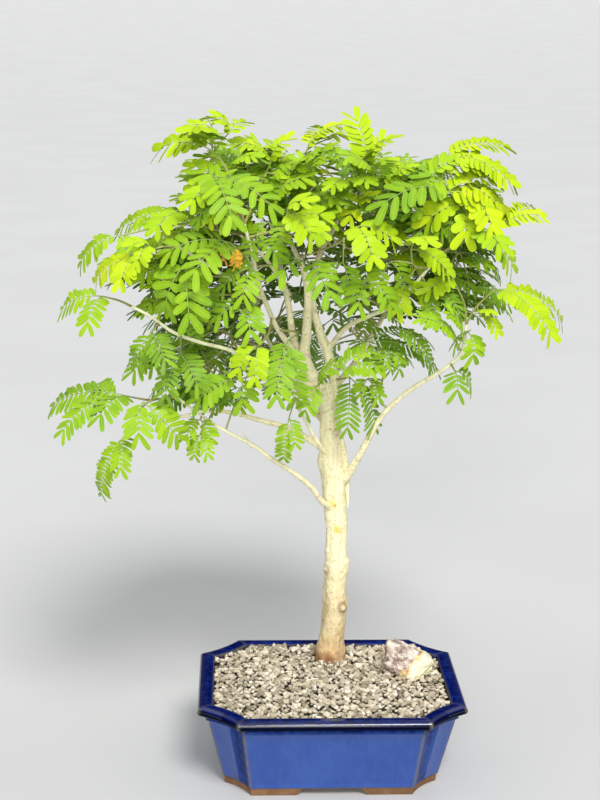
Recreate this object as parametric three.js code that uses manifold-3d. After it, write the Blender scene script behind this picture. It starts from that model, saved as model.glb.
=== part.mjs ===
// A powder puff bonsai: a small tree with feathery compound leaves, planted in a
// glazed rectangular pot with cut corners, with gravel and a rock on the soil.
// Millimetres, +Z up. Positions are measured from the middle of the pot, with
// z = 0 on the surface that the feet stand on. At the end the whole group is
// moved so that its origin is the bottom centre of its bounding box.

import * as THREE from 'three';
import { mergeVertices } from 'three/addons/utils/BufferGeometryUtils.js';
import Module from 'manifold-3d';

const wasm = await Module();
wasm.setup();

// Gap that is kept between two pieces that touch, and the smallest edge worth keeping.
const GAP = 0.3;
const FINEST_EDGE = 0.1;

// The pot: an 8 inch glazed pot. Cuts are the lengths that a corner takes off each side.
const POT_LENGTH = 203.2;
const POT_WIDTH = 171;
const POT_HEIGHT = 71;
const RIM_CUT_X = 30;
const RIM_CUT_Y = 29.5;
const BODY_CUT_X = 26.5;
const BODY_CUT_Y = 27;
const BASE_CUT_X = 20.5;
const BASE_CUT_Y = 24;
const BASE_INSET_X = 19;
const BASE_INSET_Y = 26;
const CUT_SHRINK = 0.4;
const CORNER_HOLLOW = 2.4;
const CORNER_STEPS = 3;
const LIP_HEIGHT = 7.5;
const LIP_OVERHANG = 7;
const COVE_HEIGHT = 5;
const RIM_WIDTH = 11.5;
const RIM_ROUNDING = 1.2;
const WALL = 6;
const FLOOR_TOP = 12;
const FOOT_HEIGHT = 6;
const FOOT_WIDTH = 9;
const FOOT_INSET = 0.8;
const FOOT_TAPER = 0.7;
const ARCH_SLOPE = 6;
const FRONT_ARCH = 43;
const SIDE_ARCH = 34;
const DRAIN_RADIUS = 9;
const DRAIN_OFFSET = 45;
const DRAIN_SIDES = 16;

// Outer face of the lip, from its underside to its top: depth below the top, and inset.
const LIP_PROFILE = [[LIP_HEIGHT, 4], [6.5, 0.6], [3.5, 0], [1, 0.8], [0, 2.6]];

// Mesh over each drain hole.
const SCREEN_SIZE = 26;
const SCREEN_THICKNESS = 0.8;
const SCREEN_HOLE = 8;
const SCREEN_PITCH = 11;

// The fill of the pot, which keeps a little clear of the wall.
const FILL_ROOM = 0.9;
const SOIL_TOP = 61;
const GRAVEL_TOP = 68;
const GRAVEL_MOUND = 1.6;
const GRAVEL_TILT = 0.02;
const GRAVEL_SPACING = 12;
const GRAVEL_RELIEF = 1.3;
const GRAVEL_JITTER = 0.35;
const GRAVEL_STAGGER = 0.25;
const GRAVEL_SEED = 7;

// Young stems and leaves.
const STEM_RADIUS = 1.0;
const STEM_TIP_RADIUS = 0.75;
const STEM_SIDES = 4;
const PETIOLE_RADIUS = 0.62;
const PETIOLE_SIDES = 3;
const BLADE_THICKNESS = 0.7;
const RIB_WIDTH = 1.4;
const LONGEST_CROTCH = 3;
const STALK_PULL = 0.3;

// A feather. The rib's arch is a share of its length. Leaflets stand at shares of the rib, at
// angles in radians from it. Their sizes and the places of their corners are shares of the
// leaflet's length, or of its width across.
const RIB_ARCH = 0.16;
const RIB_END = 0.75;
const FEATHER_TIP = 0.2;
const FIRST_LEAFLET = 0.22;
const FIRST_ANGLE = 1.15;
const MIDDLE_ANGLE = 1.0;
const LAST_ANGLE = 0.6;
const LEAFLET_DROOP = 0.12;
const LEAFLET_FILL = 0.74;
const LEAFLET_SLIMNESS = 0.56;
const SMALLEST_LEAFLET = 0.75;
const LENGTH_VARIATION = 0.12;
const NEAR_CORNER = [0.8, -0.5];
const FAR_CORNER = [1, 0.34];
const NOTCH_BACK = 0.42;
const FIRST_NOTCH = 0.05;
const INNER_ROOM = 0.85;
const WIDEST_HALF_SPREAD = 1.3;
const SHORTEST_LEAFLET = 0.4;

// The crown, whose leaves face up and outwards.
const CROWN_MIDDLE = [-20, 100, 330];
const CROWN_RADIUS = 150;
const OUTWARD = [0.3, 1, 0.3];

// Sprays that a rule places in the crown's dome, where the picture shows leaves that can't be
// told apart, and behind it. A spray has leaves at shares of its stem, ahead or to one side.
const SPRAYS = 11;
const SPRAY_TRIES = 6000;
const SPRAY_SEED = 26;
const SPRAY_LEAVES = [[1, 0], [0.6, 1], [0.25, -1]];
const SPRAY_TURN = 1.05;
const SPRAY_STALK = 9;
const SPRAY_PAIRS = 2;
const SPRAY_LEAFLET = 13;
const SPRAY_ROOT = 0.62;
const STEM_RISE = 8;
const LONGEST_SPRAY = 75;
const FEATHER_REACH = 38;
const HALF_SPREAD = 0.55;
const OUTWARD_TILT = 0.3;
const OUTWARD_DROP = 0.2;
const DOME_MIDDLE = [-14, 46, 350];
const DOME_REACH = [124, 92, 104];
const DOME_LOW = -0.55;
const DOME_HIGH = 0.95;
const DOME_DEPTH = 0.7;
const LEAF_ROOM = 15;
const STEM_ROOM = 9;
const WOOD_ROOM = 5;
const TESTED_SHARES = [0, 0.33, 0.67, 1];
// Corners of the box that stays open, so that the forks of the trunk can be seen.
const OPENING = [[-52, -200, 262], [38, 62, 405]];

// Wood of the tree: each row is x, y, z and radius, from the thick end to the thin one.
const TRUNK = [
  [3, 48, 34, 10.5], [3, 48, 56, 12.5], [3, 47.5, 68, 12], [3.5, 46, 88, 10.2], [5, 44, 115, 9.9],
  [6, 43, 158, 9.7], [6, 44, 201, 9.6], [4, 44, 223, 9], [2, 43, 245, 8.9], [0, 42, 269, 7.8],
  [-1, 42, 288, 6.4], [-2, 42, 296, 4.5],
];
const BRANCHES = [
  [[-1, 42, 279, 5.6], [-10, 40, 295, 5.4], [-20, 36, 318, 4.6], [-19, 34, 337, 3.6], [-18, 32, 365, 3.2],
    [-21, 30, 385, 2.7], [-28, 30, 401, 2.2], [-34, 32, 413, 1.8]],
  [[-20, 36, 316, 2.9], [-28, 44, 330, 2.8], [-32, 50, 355, 2.6], [-35, 54, 369, 2.4],
    [-39, 62, 390, 2.1], [-37, 74, 413, 1.7]],
  [[-20, 36, 312, 2.6], [-35, 28, 334, 2.4], [-43, 22, 347, 2.2], [-54, 8, 375, 2],
    [-61, 0, 403, 1.8], [-67, -6, 427, 1.5]],
  [[0, 43, 284, 4.2], [4, 46, 298, 4], [-2, 50, 321, 3.6], [-8, 52, 337, 3.3], [-14, 56, 361, 2.8],
    [-10, 62, 390, 2.5], [3, 66, 416, 2.2], [13, 70, 433, 1.7]],
  [[-3, 50, 321, 2.2], [12, 40, 342, 2.1], [29, 30, 353, 1.9], [43, 22, 361, 1.8],
    [61, 14, 380, 1.6], [78, 8, 403, 1.4]],
  [[-32, 52, 365, 1.8], [-43, 40, 385, 1.8], [-54, 30, 400, 1.6], [-70, 20, 416, 1.3]],
  [[-54, 12, 370, 1.6], [-70, 0, 381, 1.5], [-95, -20, 400, 1.3], [-113, -30, 413, 1.2]],
  [[-10, 38, 294, 2.2], [-32, 20, 309, 2], [-77, -6, 333, 1.8], [-99, -16, 341, 1.6],
    [-119, -22, 350, 1.5], [-135, -20, 361, 1.4], [-149, -18, 368, 1.2]],
  [[0, 42, 243, 2.8], [-17, 44, 253, 2.6], [-31, 44, 261, 2.4], [-54, 46, 267, 2.2], [-79, 44, 274, 1.9],
    [-99, 38, 276, 1.7], [-114, 30, 274, 1.6], [-127, 20, 280, 1.4], [-138, 12, 291, 1.2]],
  [[-1, 40, 241, 2], [-10, 30, 254, 1.9], [-24, 16, 282, 1.6], [-32, 4, 305, 1.5], [-37, -4, 325, 1.3]],
  [[4, 42, 196, 2.6], [-6, 30, 206, 2.5], [-15, 22, 220, 2.3], [-32, 12, 236, 2.1], [-46, 4, 247, 2],
    [-62, -4, 261, 1.8], [-90, -14, 279, 1.5], [-117, -24, 302, 1.2]],
  [[7, 42, 216, 3.6], [14, 38, 225, 3.3], [23, 30, 243, 2.8], [37, 22, 273, 2.4], [51, 16, 291, 2.2],
    [65, 12, 303, 2], [84, 8, 316, 1.8], [95, 6, 327, 1.6], [99, 8, 339, 1.5], [100, 10, 350, 1.3]],
  [[0, 43, 262, 2.6], [-22, 66, 284, 2.3], [-42, 92, 312, 1.9], [-58, 118, 338, 1.5]],
  [[1, 44, 290, 2.8], [24, 72, 312, 2.4], [44, 98, 338, 2], [58, 122, 362, 1.5]],
  [[-37, 73, 405, 1.7], [-30, 98, 424, 1.6], [-20, 120, 440, 1.4]],
];
const TRUNK_SIDES = 10;
const THICK_BRANCH = 3;
const THICK_SIDES = 7;
const THIN_SIDES = 4;

// Ribs that wander up the trunk: height, how many go round, and millimetres of rise for each
// radian that they turn.
const TRUNK_RIBS = [[0.45, 3, 24], [0.3, 5, -15]];

// Swellings where leaves and old branches stood: height, compass angle in degrees, size.
const KNOT_REACH = 7;
const KNOT_TIGHTNESS = 3;
const KNOTS = [[147, 200, 1.8], [154, -20, 1.6], [111, -80, 1.5], [196, 190, 1.4], [246, -75, 1.2]];

// The rock is a block cut by planes: each row is a plane's direction and its distance from
// the middle of the block.
const ROCK_CENTRE = [64.5, 13, 77];
const ROCK_DETAIL = 2;
const ROCK_ROUGHNESS = 0.06;
const ROCK_SEED = 5;
const GRAZING = 0.05;
const ROCK_PLANES = [
  [-1, -0.05, 0.03, 19.6], [-0.06, -0.05, 1, 19.2], [0.36, 0.1, 0.93, 14], [0.66, 0.1, 0.74, 15.2],
  [1, 0, -0.12, 18.6], [0.25, -1, 0.42, 12], [-0.5, -1, 0.25, 13], [0.75, -0.75, -0.35, 14],
  [0, 1, 0.1, 12], [0, 0, -1, 10], [-0.6, -0.5, -0.6, 13.5],
];

// Leafy shoots. The stem of each starts on the nearest wood, runs through the listed points and
// ends in the fork of its first leaf; the other leaves have a stalk of their own. A leaf's row
// is the fork where its two feathers part, the tip of each feather, the number of leaflet pairs
// on a feather and the length of a leaflet. Tone runs from 0 for an old dark leaf to 1 for a
// new yellow one. Shoots with the same name grow from one place and make one node.
const SHOOTS = [
  { name: 'shoot_low_left_tip', tone: 0.35, stem: [[-143, 6, 293]], leaves: [
    [[-153, -2, 297], [-219, 10, 288], [-177, -38, 288], 4, 14],
  ] },
  { name: 'shoot_low_left_front', tone: 0.4, stem: [[-126, -30, 302], [-137, -38, 301], [-147, -40, 289]], leaves: [
    [[-153, -38, 277], [-175, -30, 224], [-157, -62, 252], 3, 10],
    [[-140, -42, 302], [-143, -72, 278], [-109, -50, 272], 4, 14],
  ] },
  { name: 'shoot_low_mid', tone: 0.4, stem: [[-52, -14, 319]], leaves: [
    [[-68, -26, 316], [-108, -46, 302], [-68, -42, 294], 4, 15],
  ] },
  { name: 'shoot_mid_left_hang', tone: 0.15, stem: [], leaves: [
    [[-113, -36, 337], [-97, -64, 314], [-126, -58, 303], 4, 13],
  ] },
  { name: 'shoot_mid_left_low', tone: 0.2, stem: [], leaves: [
    [[-134, -30, 351], [-149, -34, 321], [-121, -68, 335], 4, 12],
  ] },
  { name: 'shoot_left_tip', tone: 0.5, stem: [[-158, -22, 373]], leaves: [
    [[-169, -28, 377], [-206, -22, 366], [-181, -56, 357], 4, 12],
  ] },
  { name: 'shoot_left_mid', tone: 0.85, stem: [[-126, -34, 414]], leaves: [
    [[-144, -36, 407], [-179, -36, 388], [-156, -66, 391], 3, 11],
    [[-134, -40, 415], [-145, -62, 404], [-150, -54, 420], 3, 10],
  ] },
  { name: 'shoot_left_upper', tone: 0.6, stem: [[-88, 6, 421], [-106, -4, 427], [-132, -8, 424]], leaves: [
    [[-157, -14, 419], [-192, -14, 396], [-143, -34, 398], 4, 12],
    [[-109, -6, 432], [-167, 6, 420], [-133, -46, 429], 4, 13],
  ] },
  { name: 'shoot_left_big', tone: 0.3, stem: [[-100, -34, 402]], leaves: [
    [[-108, -50, 405], [-128, -56, 366], [-105, -80, 362], 4, 18],
  ] },
  { name: 'shoot_left_pale', tone: 0.4, stem: [[-66, -20, 406]], leaves: [
    [[-77, -42, 418], [-130, -54, 413], [-107, -84, 400], 4, 16],
    [[-61, -20, 397], [-89, -26, 381], [-70, -46, 374], 3, 13],
  ] },
  { name: 'shoot_front_left', tone: 0.4, stem: [[-57, -4, 368]], leaves: [
    [[-65, -24, 372], [-62, -48, 348], [-93, -34, 360], 4, 14],
  ] },
  { name: 'shoot_front_left_new', tone: 0.95, stem: [[-49, 0, 344]], leaves: [
    [[-57, -34, 342], [-75, -52, 324], [-60, -58, 318], 3, 11],
  ] },
  { name: 'shoot_front_centre', tone: 0.35, stem: [[-27, 8, 344]], leaves: [
    [[-35, -18, 343], [-29, -28, 293], [-45, -66, 306], 4, 13],
  ] },
  { name: 'shoot_trunk_front', tone: 0.4, stem: [], leaves: [
    [[-11, 10, 303], [-24, 0, 279], [3, -6, 327], 3, 11],
  ] },
  { name: 'shoot_right_inner', tone: 0.15, stem: [[9, 34, 303]], leaves: [
    [[14, 26, 306], [38, 22, 260], [11, 0, 264], 4, 12],
  ] },
  { name: 'shoot_right_twig', tone: 0.3, stem: [[37, 20, 289], [39, 20, 307]], leaves: [
    [[39, 18, 327], [48, 16, 307], [27, 4, 312], 3, 11],
  ] },
  { name: 'shoot_right_low', tone: 0.3, stem: [], leaves: [
    [[91, -2, 317], [111, 4, 300], [92, -22, 299], 3, 13],
  ] },
  { name: 'shoot_right_hang', tone: 0.5, stem: [], leaves: [
    [[100, -6, 347], [105, -16, 323], [88, 12, 332], 3, 13],
  ] },
  { name: 'shoots_right_tip', tone: 0.8, stem: [[106, 4, 364]], leaves: [
    [[118, -4, 379], [178, 4, 354], [160, -46, 350], 4, 13],
    [[108, -6, 359], [123, -20, 349], [114, -26, 369], 3, 9],
  ] },
  { name: 'shoots_right_tip', tone: 0.7, stem: [[98, 8, 366]], leaves: [
    [[88, 0, 386], [63, -20, 380], [73, -26, 403], 3, 12],
  ] },
  { name: 'shoot_right_pale', tone: 0.5, stem: [], leaves: [
    [[90, -20, 338], [56, -54, 370], [80, -46, 374], 3, 10],
  ] },
  { name: 'shoot_right_dark', tone: 0.15, stem: [[19, 40, 336]], leaves: [
    [[25, 42, 330], [89, 36, 310], [85, 78, 326], 4, 12],
  ] },
  { name: 'shoots_right_end', tone: 0.2, stem: [[88, 24, 403]], leaves: [
    [[97, 34, 401], [135, 40, 382], [117, 66, 368], 4, 12],
  ] },
  { name: 'shoots_right_front', tone: 0.25, stem: [], leaves: [
    [[72, 0, 378], [97, -16, 360], [73, -14, 351], 3, 13],
  ] },
  { name: 'shoots_right_end', tone: 0.55, stem: [[90, 0, 413]], leaves: [
    [[101, -8, 420], [138, -12, 393], [121, -44, 417], 4, 15],
  ] },
  { name: 'shoots_right_end', tone: 0.9, stem: [[101, 14, 414]], leaves: [
    [[122, 8, 423], [157, 0, 437], [157, 34, 439], 3, 11],
  ] },
  { name: 'shoots_right_end', tone: 0.9, stem: [[81, 10, 425], [86, 10, 447]], leaves: [
    [[79, 16, 473], [134, 20, 485], [133, -14, 458], 4, 13],
    [[89, 8, 452], [133, 4, 437], [116, -34, 426], 4, 15],
    [[94, 0, 440], [58, -20, 431], [93, -30, 417], 3, 17],
  ] },
  { name: 'shoots_top_right', tone: 0.7, stem: [[18, 48, 442]], leaves: [
    [[22, 24, 457], [15, 20, 510], [38, -4, 496], 4, 14],
  ] },
  { name: 'shoots_top_right', tone: 0.3, stem: [[35, 30, 432], [73, 2, 448]], leaves: [
    [[80, -4, 452], [23, -34, 445], [60, -6, 474], 4, 19],
    [[19, 22, 430], [23, 6, 451], [6, 0, 446], 3, 11],
  ] },
  { name: 'shoot_top_mid', tone: 0.95, stem: [[-29, 60, 442]], leaves: [
    [[-20, 40, 477], [11, 34, 501], [-4, 74, 496], 3, 10],
    [[-26, 50, 453], [-49, 76, 474], [2, 70, 468], 4, 14],
    [[-16, 44, 443], [12, 28, 456], [4, 14, 433], 3, 14],
  ] },
  { name: 'shoots_top_left', tone: 0.85, stem: [[-58, 8, 446]], leaves: [
    [[-47, 20, 470], [-75, 6, 489], [-34, 14, 493], 4, 12],
    [[-57, 12, 449], [-73, 34, 476], [-46, 42, 466], 4, 14],
  ] },
  { name: 'shoots_top_left', tone: 0.75, stem: [[-73, -8, 452], [-83, -8, 472]], leaves: [
    [[-90, -10, 480], [-137, -10, 485], [-105, -52, 505], 4, 17],
    [[-90, 0, 495], [-114, -4, 499], [-99, 22, 506], 3, 12],
    [[-78, 4, 492], [-88, -4, 510], [-65, 10, 505], 3, 11],
  ] },
  { name: 'shoots_top_left', tone: 0.7, stem: [[-74, -18, 442]], leaves: [
    [[-86, -28, 456], [-113, -30, 457], [-108, -60, 448], 3, 13],
  ] },
  { name: 'shoots_top_left', tone: 0.35, stem: [[-76, -30, 442]], leaves: [
    [[-89, -46, 465], [-40, -70, 444], [-73, -92, 437], 4, 16],
    [[-86, -40, 444], [-105, -50, 434], [-79, -60, 433], 3, 12],
  ] },
  { name: 'shoot_front_mid', tone: 0.35, stem: [], leaves: [
    [[-24, -8, 400], [-2, -46, 378], [-45, -40, 396], 4, 16],
  ] },
  { name: 'shoot_front_top', tone: 0.75, stem: [[-35, 0, 425]], leaves: [
    [[-37, -38, 439], [-14, -60, 421], [-23, -60, 454], 3, 14],
    [[-30, -10, 430], [-4, -22, 438], [-10, -46, 426], 3, 13],
  ] },
  { name: 'shoot_front_right', tone: 0.8, stem: [[4, 20, 410]], leaves: [
    [[13, -20, 427], [47, -34, 419], [26, -60, 407], 4, 14],
  ] },
  { name: 'shoot_front_right_low', tone: 0.4, stem: [[25, 8, 371]], leaves: [
    [[21, -10, 386], [46, -30, 368], [14, -32, 366], 4, 14],
  ] },
  { name: 'shoots_right_front', tone: 0.75, stem: [[58, -4, 397]], leaves: [
    [[54, -20, 411], [86, -34, 394], [64, -60, 424], 4, 12],
    [[52, 2, 380], [78, -6, 368], [44, -20, 361], 3, 12],
  ] },
  { name: 'shoots_back_left', tone: 0.3, stem: [[-70, 128, 346], [-80, 138, 350]], leaves: [
    [[-82, 142, 352], [-126, 150, 340], [-92, 182, 334], 3, 13],
  ] },
  { name: 'shoot_back_left_low', tone: 0.25, stem: [[-66, 96, 322], [-90, 94, 330]], leaves: [
    [[-94, 94, 332], [-142, 88, 320], [-116, 130, 322], 3, 13],
  ] },
  { name: 'shoots_back_left', tone: 0.5, stem: [[-58, 108, 352], [-72, 110, 376]], leaves: [
    [[-75, 112, 380], [-122, 106, 388], [-86, 152, 382], 3, 13],
  ] },
  { name: 'shoots_back_right', tone: 0.35, stem: [[68, 132, 372], [78, 140, 380]], leaves: [
    [[81, 142, 382], [122, 150, 370], [86, 182, 366], 3, 13],
  ] },
  { name: 'shoot_back_right_low', tone: 0.25, stem: [[66, 94, 344], [88, 90, 348]], leaves: [
    [[92, 90, 350], [140, 84, 342], [112, 126, 342], 3, 12],
  ] },
  { name: 'shoots_back_right', tone: 0.45, stem: [[54, 106, 384], [60, 98, 412]], leaves: [
    [[62, 98, 416], [110, 98, 420], [72, 140, 410], 3, 13],
  ] },
  { name: 'shoot_back_top', tone: 0.6, stem: [[-16, 130, 450], [-12, 136, 458]], leaves: [
    [[-10, 138, 460], [34, 150, 452], [-22, 176, 444], 3, 13],
  ] },
  { name: 'shoot_back_top_left', tone: 0.55, stem: [[-46, 104, 436], [-62, 106, 446]], leaves: [
    [[-64, 108, 448], [-108, 106, 452], [-74, 148, 440], 3, 13],
  ] },
  { name: 'shoot_back_middle', tone: 0.2, stem: [[-20, 96, 372], [-16, 120, 388]], leaves: [
    [[-15, 124, 390], [22, 146, 382], [-40, 156, 376], 3, 13],
  ] },
];

const COLOURS = {
  glaze: '#14309c',
  clay: '#8a5a3c',
  screen: '#2b2b2b',
  soil: '#3b2c20',
  gravel: '#b9b09a',
  rock: '#c9ad8c',
  bark: '#cbb98a',
  leafOld: '#3f7a26',
  leafNew: '#b4d324',
};

const vector = (point) => new THREE.Vector3(point[0], point[1], point[2]);

// Random numbers that are the same on every run.
function seededRandom(seed) {
  let state = seed;
  return () => {
    state = (state * 1664525 + 1013904223) % 4294967296;
    return state / 4294967296;
  };
}

// Solids

// Turns a list of vectors and a list of vertex triples into a solid for joins and cuts.
function solidFromTriangles(vertices, triangles) {
  const geometry = new THREE.BufferGeometry().setFromPoints(vertices);
  geometry.setIndex(triangles.flat());
  return solidFromGeometry(geometry);
}

function solidFromGeometry(geometry) {
  const bare = geometry.clone();
  bare.deleteAttribute('normal');
  bare.deleteAttribute('uv');
  const merged = mergeVertices(bare, 1e-4);
  return new wasm.Manifold(new wasm.Mesh({
    numProp: 3,
    vertProperties: new Float32Array(merged.attributes.position.array),
    triVerts: new Uint32Array(merged.index.array),
  }));
}

// The largest connected body of a solid, with its tiniest edges collapsed.
function mainBody(solid) {
  const bodies = solid.simplify(FINEST_EDGE).decompose();
  return bodies.reduce((best, body) => (body.volume() > best.volume() ? body : best));
}

function meshFromSolid(name, solid, colour, roughness) {
  const data = mainBody(solid).getMesh();
  const geometry = new THREE.BufferGeometry();
  geometry.setAttribute('position', new THREE.BufferAttribute(new Float32Array(data.vertProperties), 3));
  geometry.setIndex(new THREE.BufferAttribute(new Uint32Array(data.triVerts), 1));
  geometry.computeVertexNormals();
  const material = new THREE.MeshStandardMaterial({ color: colour, roughness, metalness: 0 });
  const mesh = new THREE.Mesh(geometry, material);
  mesh.name = name;
  return mesh;
}

function joinAll(solids) {
  return solids.reduce((sum, solid) => sum.add(solid));
}

// Closed solid through a stack of rings that all have the same number of points. Each end is
// closed by a fan from its first point.
function loft(rings) {
  const count = rings[0].length;
  const last = (rings.length - 1) * count;
  const triangles = [];
  for (let ring = 0; ring + 1 < rings.length; ring += 1) {
    for (let side = 0; side < count; side += 1) {
      const a = ring * count + side;
      const b = ring * count + ((side + 1) % count);
      triangles.push([a, b, b + count], [a, b + count, a + count]);
    }
  }
  for (let side = 1; side + 1 < count; side += 1) {
    triangles.push([0, side + 1, side], [last, last + side, last + side + 1]);
  }
  return solidFromTriangles(rings.flat(), triangles);
}

// Directions square to a path at each of its points, carried along without twist.
function sideways(centres) {
  const directions = [];
  let carried = new THREE.Vector3(1, 0, 0.2);
  centres.forEach((_, index) => {
    const before = centres[Math.max(index - 1, 0)];
    const after = centres[Math.min(index + 1, centres.length - 1)];
    const along = after.clone().sub(before).normalize();
    carried = carried.clone().projectOnPlane(along).normalize();
    directions.push([carried, new THREE.Vector3().crossVectors(along, carried)]);
  });
  return directions;
}

// Tapered tube with a ring at each centre. radiusAt gives the radius from the share of the
// rings passed and the angle round the tube, which lets a trunk have ribs and knots.
function tube(centres, sides, radiusAt) {
  const directions = sideways(centres);
  const rings = centres.map((centre, step) => Array.from({ length: sides }, (_, side) => {
    const angle = (2 * Math.PI * side) / sides;
    const radius = radiusAt(step / (centres.length - 1), angle, centre);
    return centre.clone()
      .addScaledVector(directions[step][0], Math.cos(angle) * radius)
      .addScaledVector(directions[step][1], Math.sin(angle) * radius);
  }));
  return loft(rings);
}

// Pot

// Rectangle round the middle of the pot with four cut corners that are slightly hollow.
function potOutline(insetX, insetY, cutX, cutY, z) {
  const halfX = POT_LENGTH / 2 - insetX;
  const halfY = POT_WIDTH / 2 - insetY;
  const start = new THREE.Vector2(halfX, halfY - cutY);
  const end = new THREE.Vector2(halfX - cutX, halfY);
  const middle = start.clone().add(end).multiplyScalar(0.5);
  const inward = new THREE.Vector2(-cutY, -cutX).normalize();
  const control = middle.addScaledVector(inward, 2 * CORNER_HOLLOW);
  const corner = new THREE.QuadraticBezierCurve(start, control, end).getPoints(CORNER_STEPS);
  const turned = [...corner].reverse();
  return [
    ...corner.map((p) => new THREE.Vector3(p.x, p.y, z)),
    ...turned.map((p) => new THREE.Vector3(-p.x, p.y, z)),
    ...corner.map((p) => new THREE.Vector3(-p.x, -p.y, z)),
    ...turned.map((p) => new THREE.Vector3(p.x, -p.y, z)),
  ];
}

// Outline of the flared body at a height, set in from its outer face by `depth`.
function bodyOutline(z, depth) {
  const rise = (z - FOOT_HEIGHT) / (POT_HEIGHT - LIP_HEIGHT - FOOT_HEIGHT);
  return potOutline(
    THREE.MathUtils.lerp(BASE_INSET_X, LIP_OVERHANG, rise) + depth,
    THREE.MathUtils.lerp(BASE_INSET_Y, LIP_OVERHANG, rise) + depth,
    THREE.MathUtils.lerp(BASE_CUT_X, BODY_CUT_X, rise) - CUT_SHRINK * depth,
    THREE.MathUtils.lerp(BASE_CUT_Y, BODY_CUT_Y, rise) - CUT_SHRINK * depth,
    z,
  );
}

function rimOutline(z, inset) {
  return potOutline(inset, inset, RIM_CUT_X - CUT_SHRINK * inset, RIM_CUT_Y - CUT_SHRINK * inset, z);
}

// Outline of the inner wall, which flares straight from the floor to the rim; `room` pulls it
// in, as the fill keeps a little clear of the wall.
function innerOutline(z, room) {
  const rise = (z - FLOOR_TOP) / (POT_HEIGHT - RIM_ROUNDING - FLOOR_TOP);
  return potOutline(
    THREE.MathUtils.lerp(BASE_INSET_X + WALL, RIM_WIDTH, rise) + room,
    THREE.MathUtils.lerp(BASE_INSET_Y + WALL, RIM_WIDTH, rise) + room,
    THREE.MathUtils.lerp(BASE_CUT_X, RIM_CUT_X - CUT_SHRINK * RIM_WIDTH, rise),
    THREE.MathUtils.lerp(BASE_CUT_Y, RIM_CUT_Y - CUT_SHRINK * RIM_WIDTH, rise),
    z,
  );
}

// The flared body, the lip that overhangs it, and the hollow inside.
function potShell() {
  return loft([
    bodyOutline(FOOT_HEIGHT, 0),
    bodyOutline(POT_HEIGHT - LIP_HEIGHT - COVE_HEIGHT, 0),
    ...LIP_PROFILE.map(([depth, inset]) => rimOutline(POT_HEIGHT - depth, inset)),
    rimOutline(POT_HEIGHT, RIM_WIDTH - RIM_ROUNDING),
    innerOutline(POT_HEIGHT - RIM_ROUNDING, 0),
    innerOutline(FLOOR_TOP, 0),
  ]);
}

function boxSolid(sizeX, sizeY, sizeZ, x, y, z) {
  const box = new THREE.BoxGeometry(sizeX, sizeY, sizeZ);
  box.translate(x, y, z);
  return solidFromGeometry(box);
}

// Four feet: a ring under the edge of the body, with an arch cut out of each side.
function potFeet() {
  const sink = 0.5;
  const ring = (depth, z) => bodyOutline(FOOT_HEIGHT, depth).map((p) => p.setZ(z));
  const outer = loft([ring(FOOT_INSET + FOOT_TAPER, 0), ring(FOOT_INSET, FOOT_HEIGHT + sink)]);
  const inner = loft([ring(FOOT_WIDTH, -sink), ring(FOOT_WIDTH, FOOT_HEIGHT + 2 * sink)]);
  const arch = (half) => [
    new THREE.Vector2(-half - ARCH_SLOPE, -sink),
    new THREE.Vector2(half + ARCH_SLOPE, -sink),
    new THREE.Vector2(half, FOOT_HEIGHT - sink),
    new THREE.Vector2(-half, FOOT_HEIGHT - sink),
  ];
  const frontCut = new THREE.ExtrudeGeometry(new THREE.Shape(arch(FRONT_ARCH / 2)), {
    depth: POT_WIDTH, bevelEnabled: false,
  });
  frontCut.translate(0, 0, -POT_WIDTH / 2).rotateX(Math.PI / 2);
  const sideCut = new THREE.ExtrudeGeometry(new THREE.Shape(arch(SIDE_ARCH / 2)), {
    depth: POT_LENGTH, bevelEnabled: false,
  });
  sideCut.translate(0, 0, -POT_LENGTH / 2).rotateX(Math.PI / 2).rotateZ(Math.PI / 2);
  return outer.subtract(inner)
    .subtract(solidFromGeometry(frontCut))
    .subtract(solidFromGeometry(sideCut));
}

function drainHole(x) {
  const hole = new THREE.CylinderGeometry(DRAIN_RADIUS, DRAIN_RADIUS, FLOOR_TOP * 2, DRAIN_SIDES);
  hole.rotateX(Math.PI / 2).translate(x, 0, FLOOR_TOP / 2);
  return solidFromGeometry(hole);
}

function makePot() {
  const cavity = joinAll([drainHole(-DRAIN_OFFSET), drainHole(DRAIN_OFFSET)]);
  return potShell().add(potFeet()).subtract(cavity);
}

// Plastic mesh that lies on the floor over a drain hole and holds the soil back.
function makeScreen(x) {
  const z = FLOOR_TOP + GAP + SCREEN_THICKNESS / 2;
  let screen = boxSolid(SCREEN_SIZE, SCREEN_SIZE, SCREEN_THICKNESS, x, 0, z);
  for (const column of [-0.5, 0.5]) {
    for (const row of [-0.5, 0.5]) {
      const middle = [x + column * SCREEN_PITCH, row * SCREEN_PITCH, z];
      screen = screen.subtract(boxSolid(SCREEN_HOLE, SCREEN_HOLE, 2 * SCREEN_THICKNESS, ...middle));
    }
  }
  return screen;
}

// Fill

function insideOfPot(bottom, top) {
  return loft([bottom, top].map((z) => innerOutline(z, FILL_ROOM)));
}

function makeSoil(cavities) {
  const bottom = FLOOR_TOP + GAP;
  const screens = [-DRAIN_OFFSET, DRAIN_OFFSET].map((x) => boxSolid(
    SCREEN_SIZE + 2 * GAP, SCREEN_SIZE + 2 * GAP, SCREEN_THICKNESS + 2 * GAP,
    x, 0, bottom + SCREEN_THICKNESS / 2,
  ));
  return insideOfPot(bottom, SOIL_TOP).subtract(joinAll([...screens, ...cavities]));
}

// Height of the gravel at a place: lower towards the rim, and higher towards the back.
function gravelLevel(x, y) {
  const reach = (2 * x / POT_LENGTH) ** 2 + (2 * y / POT_WIDTH) ** 2;
  return GRAVEL_TOP + GRAVEL_MOUND * (0.5 - reach) + GRAVEL_TILT * y;
}

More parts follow.
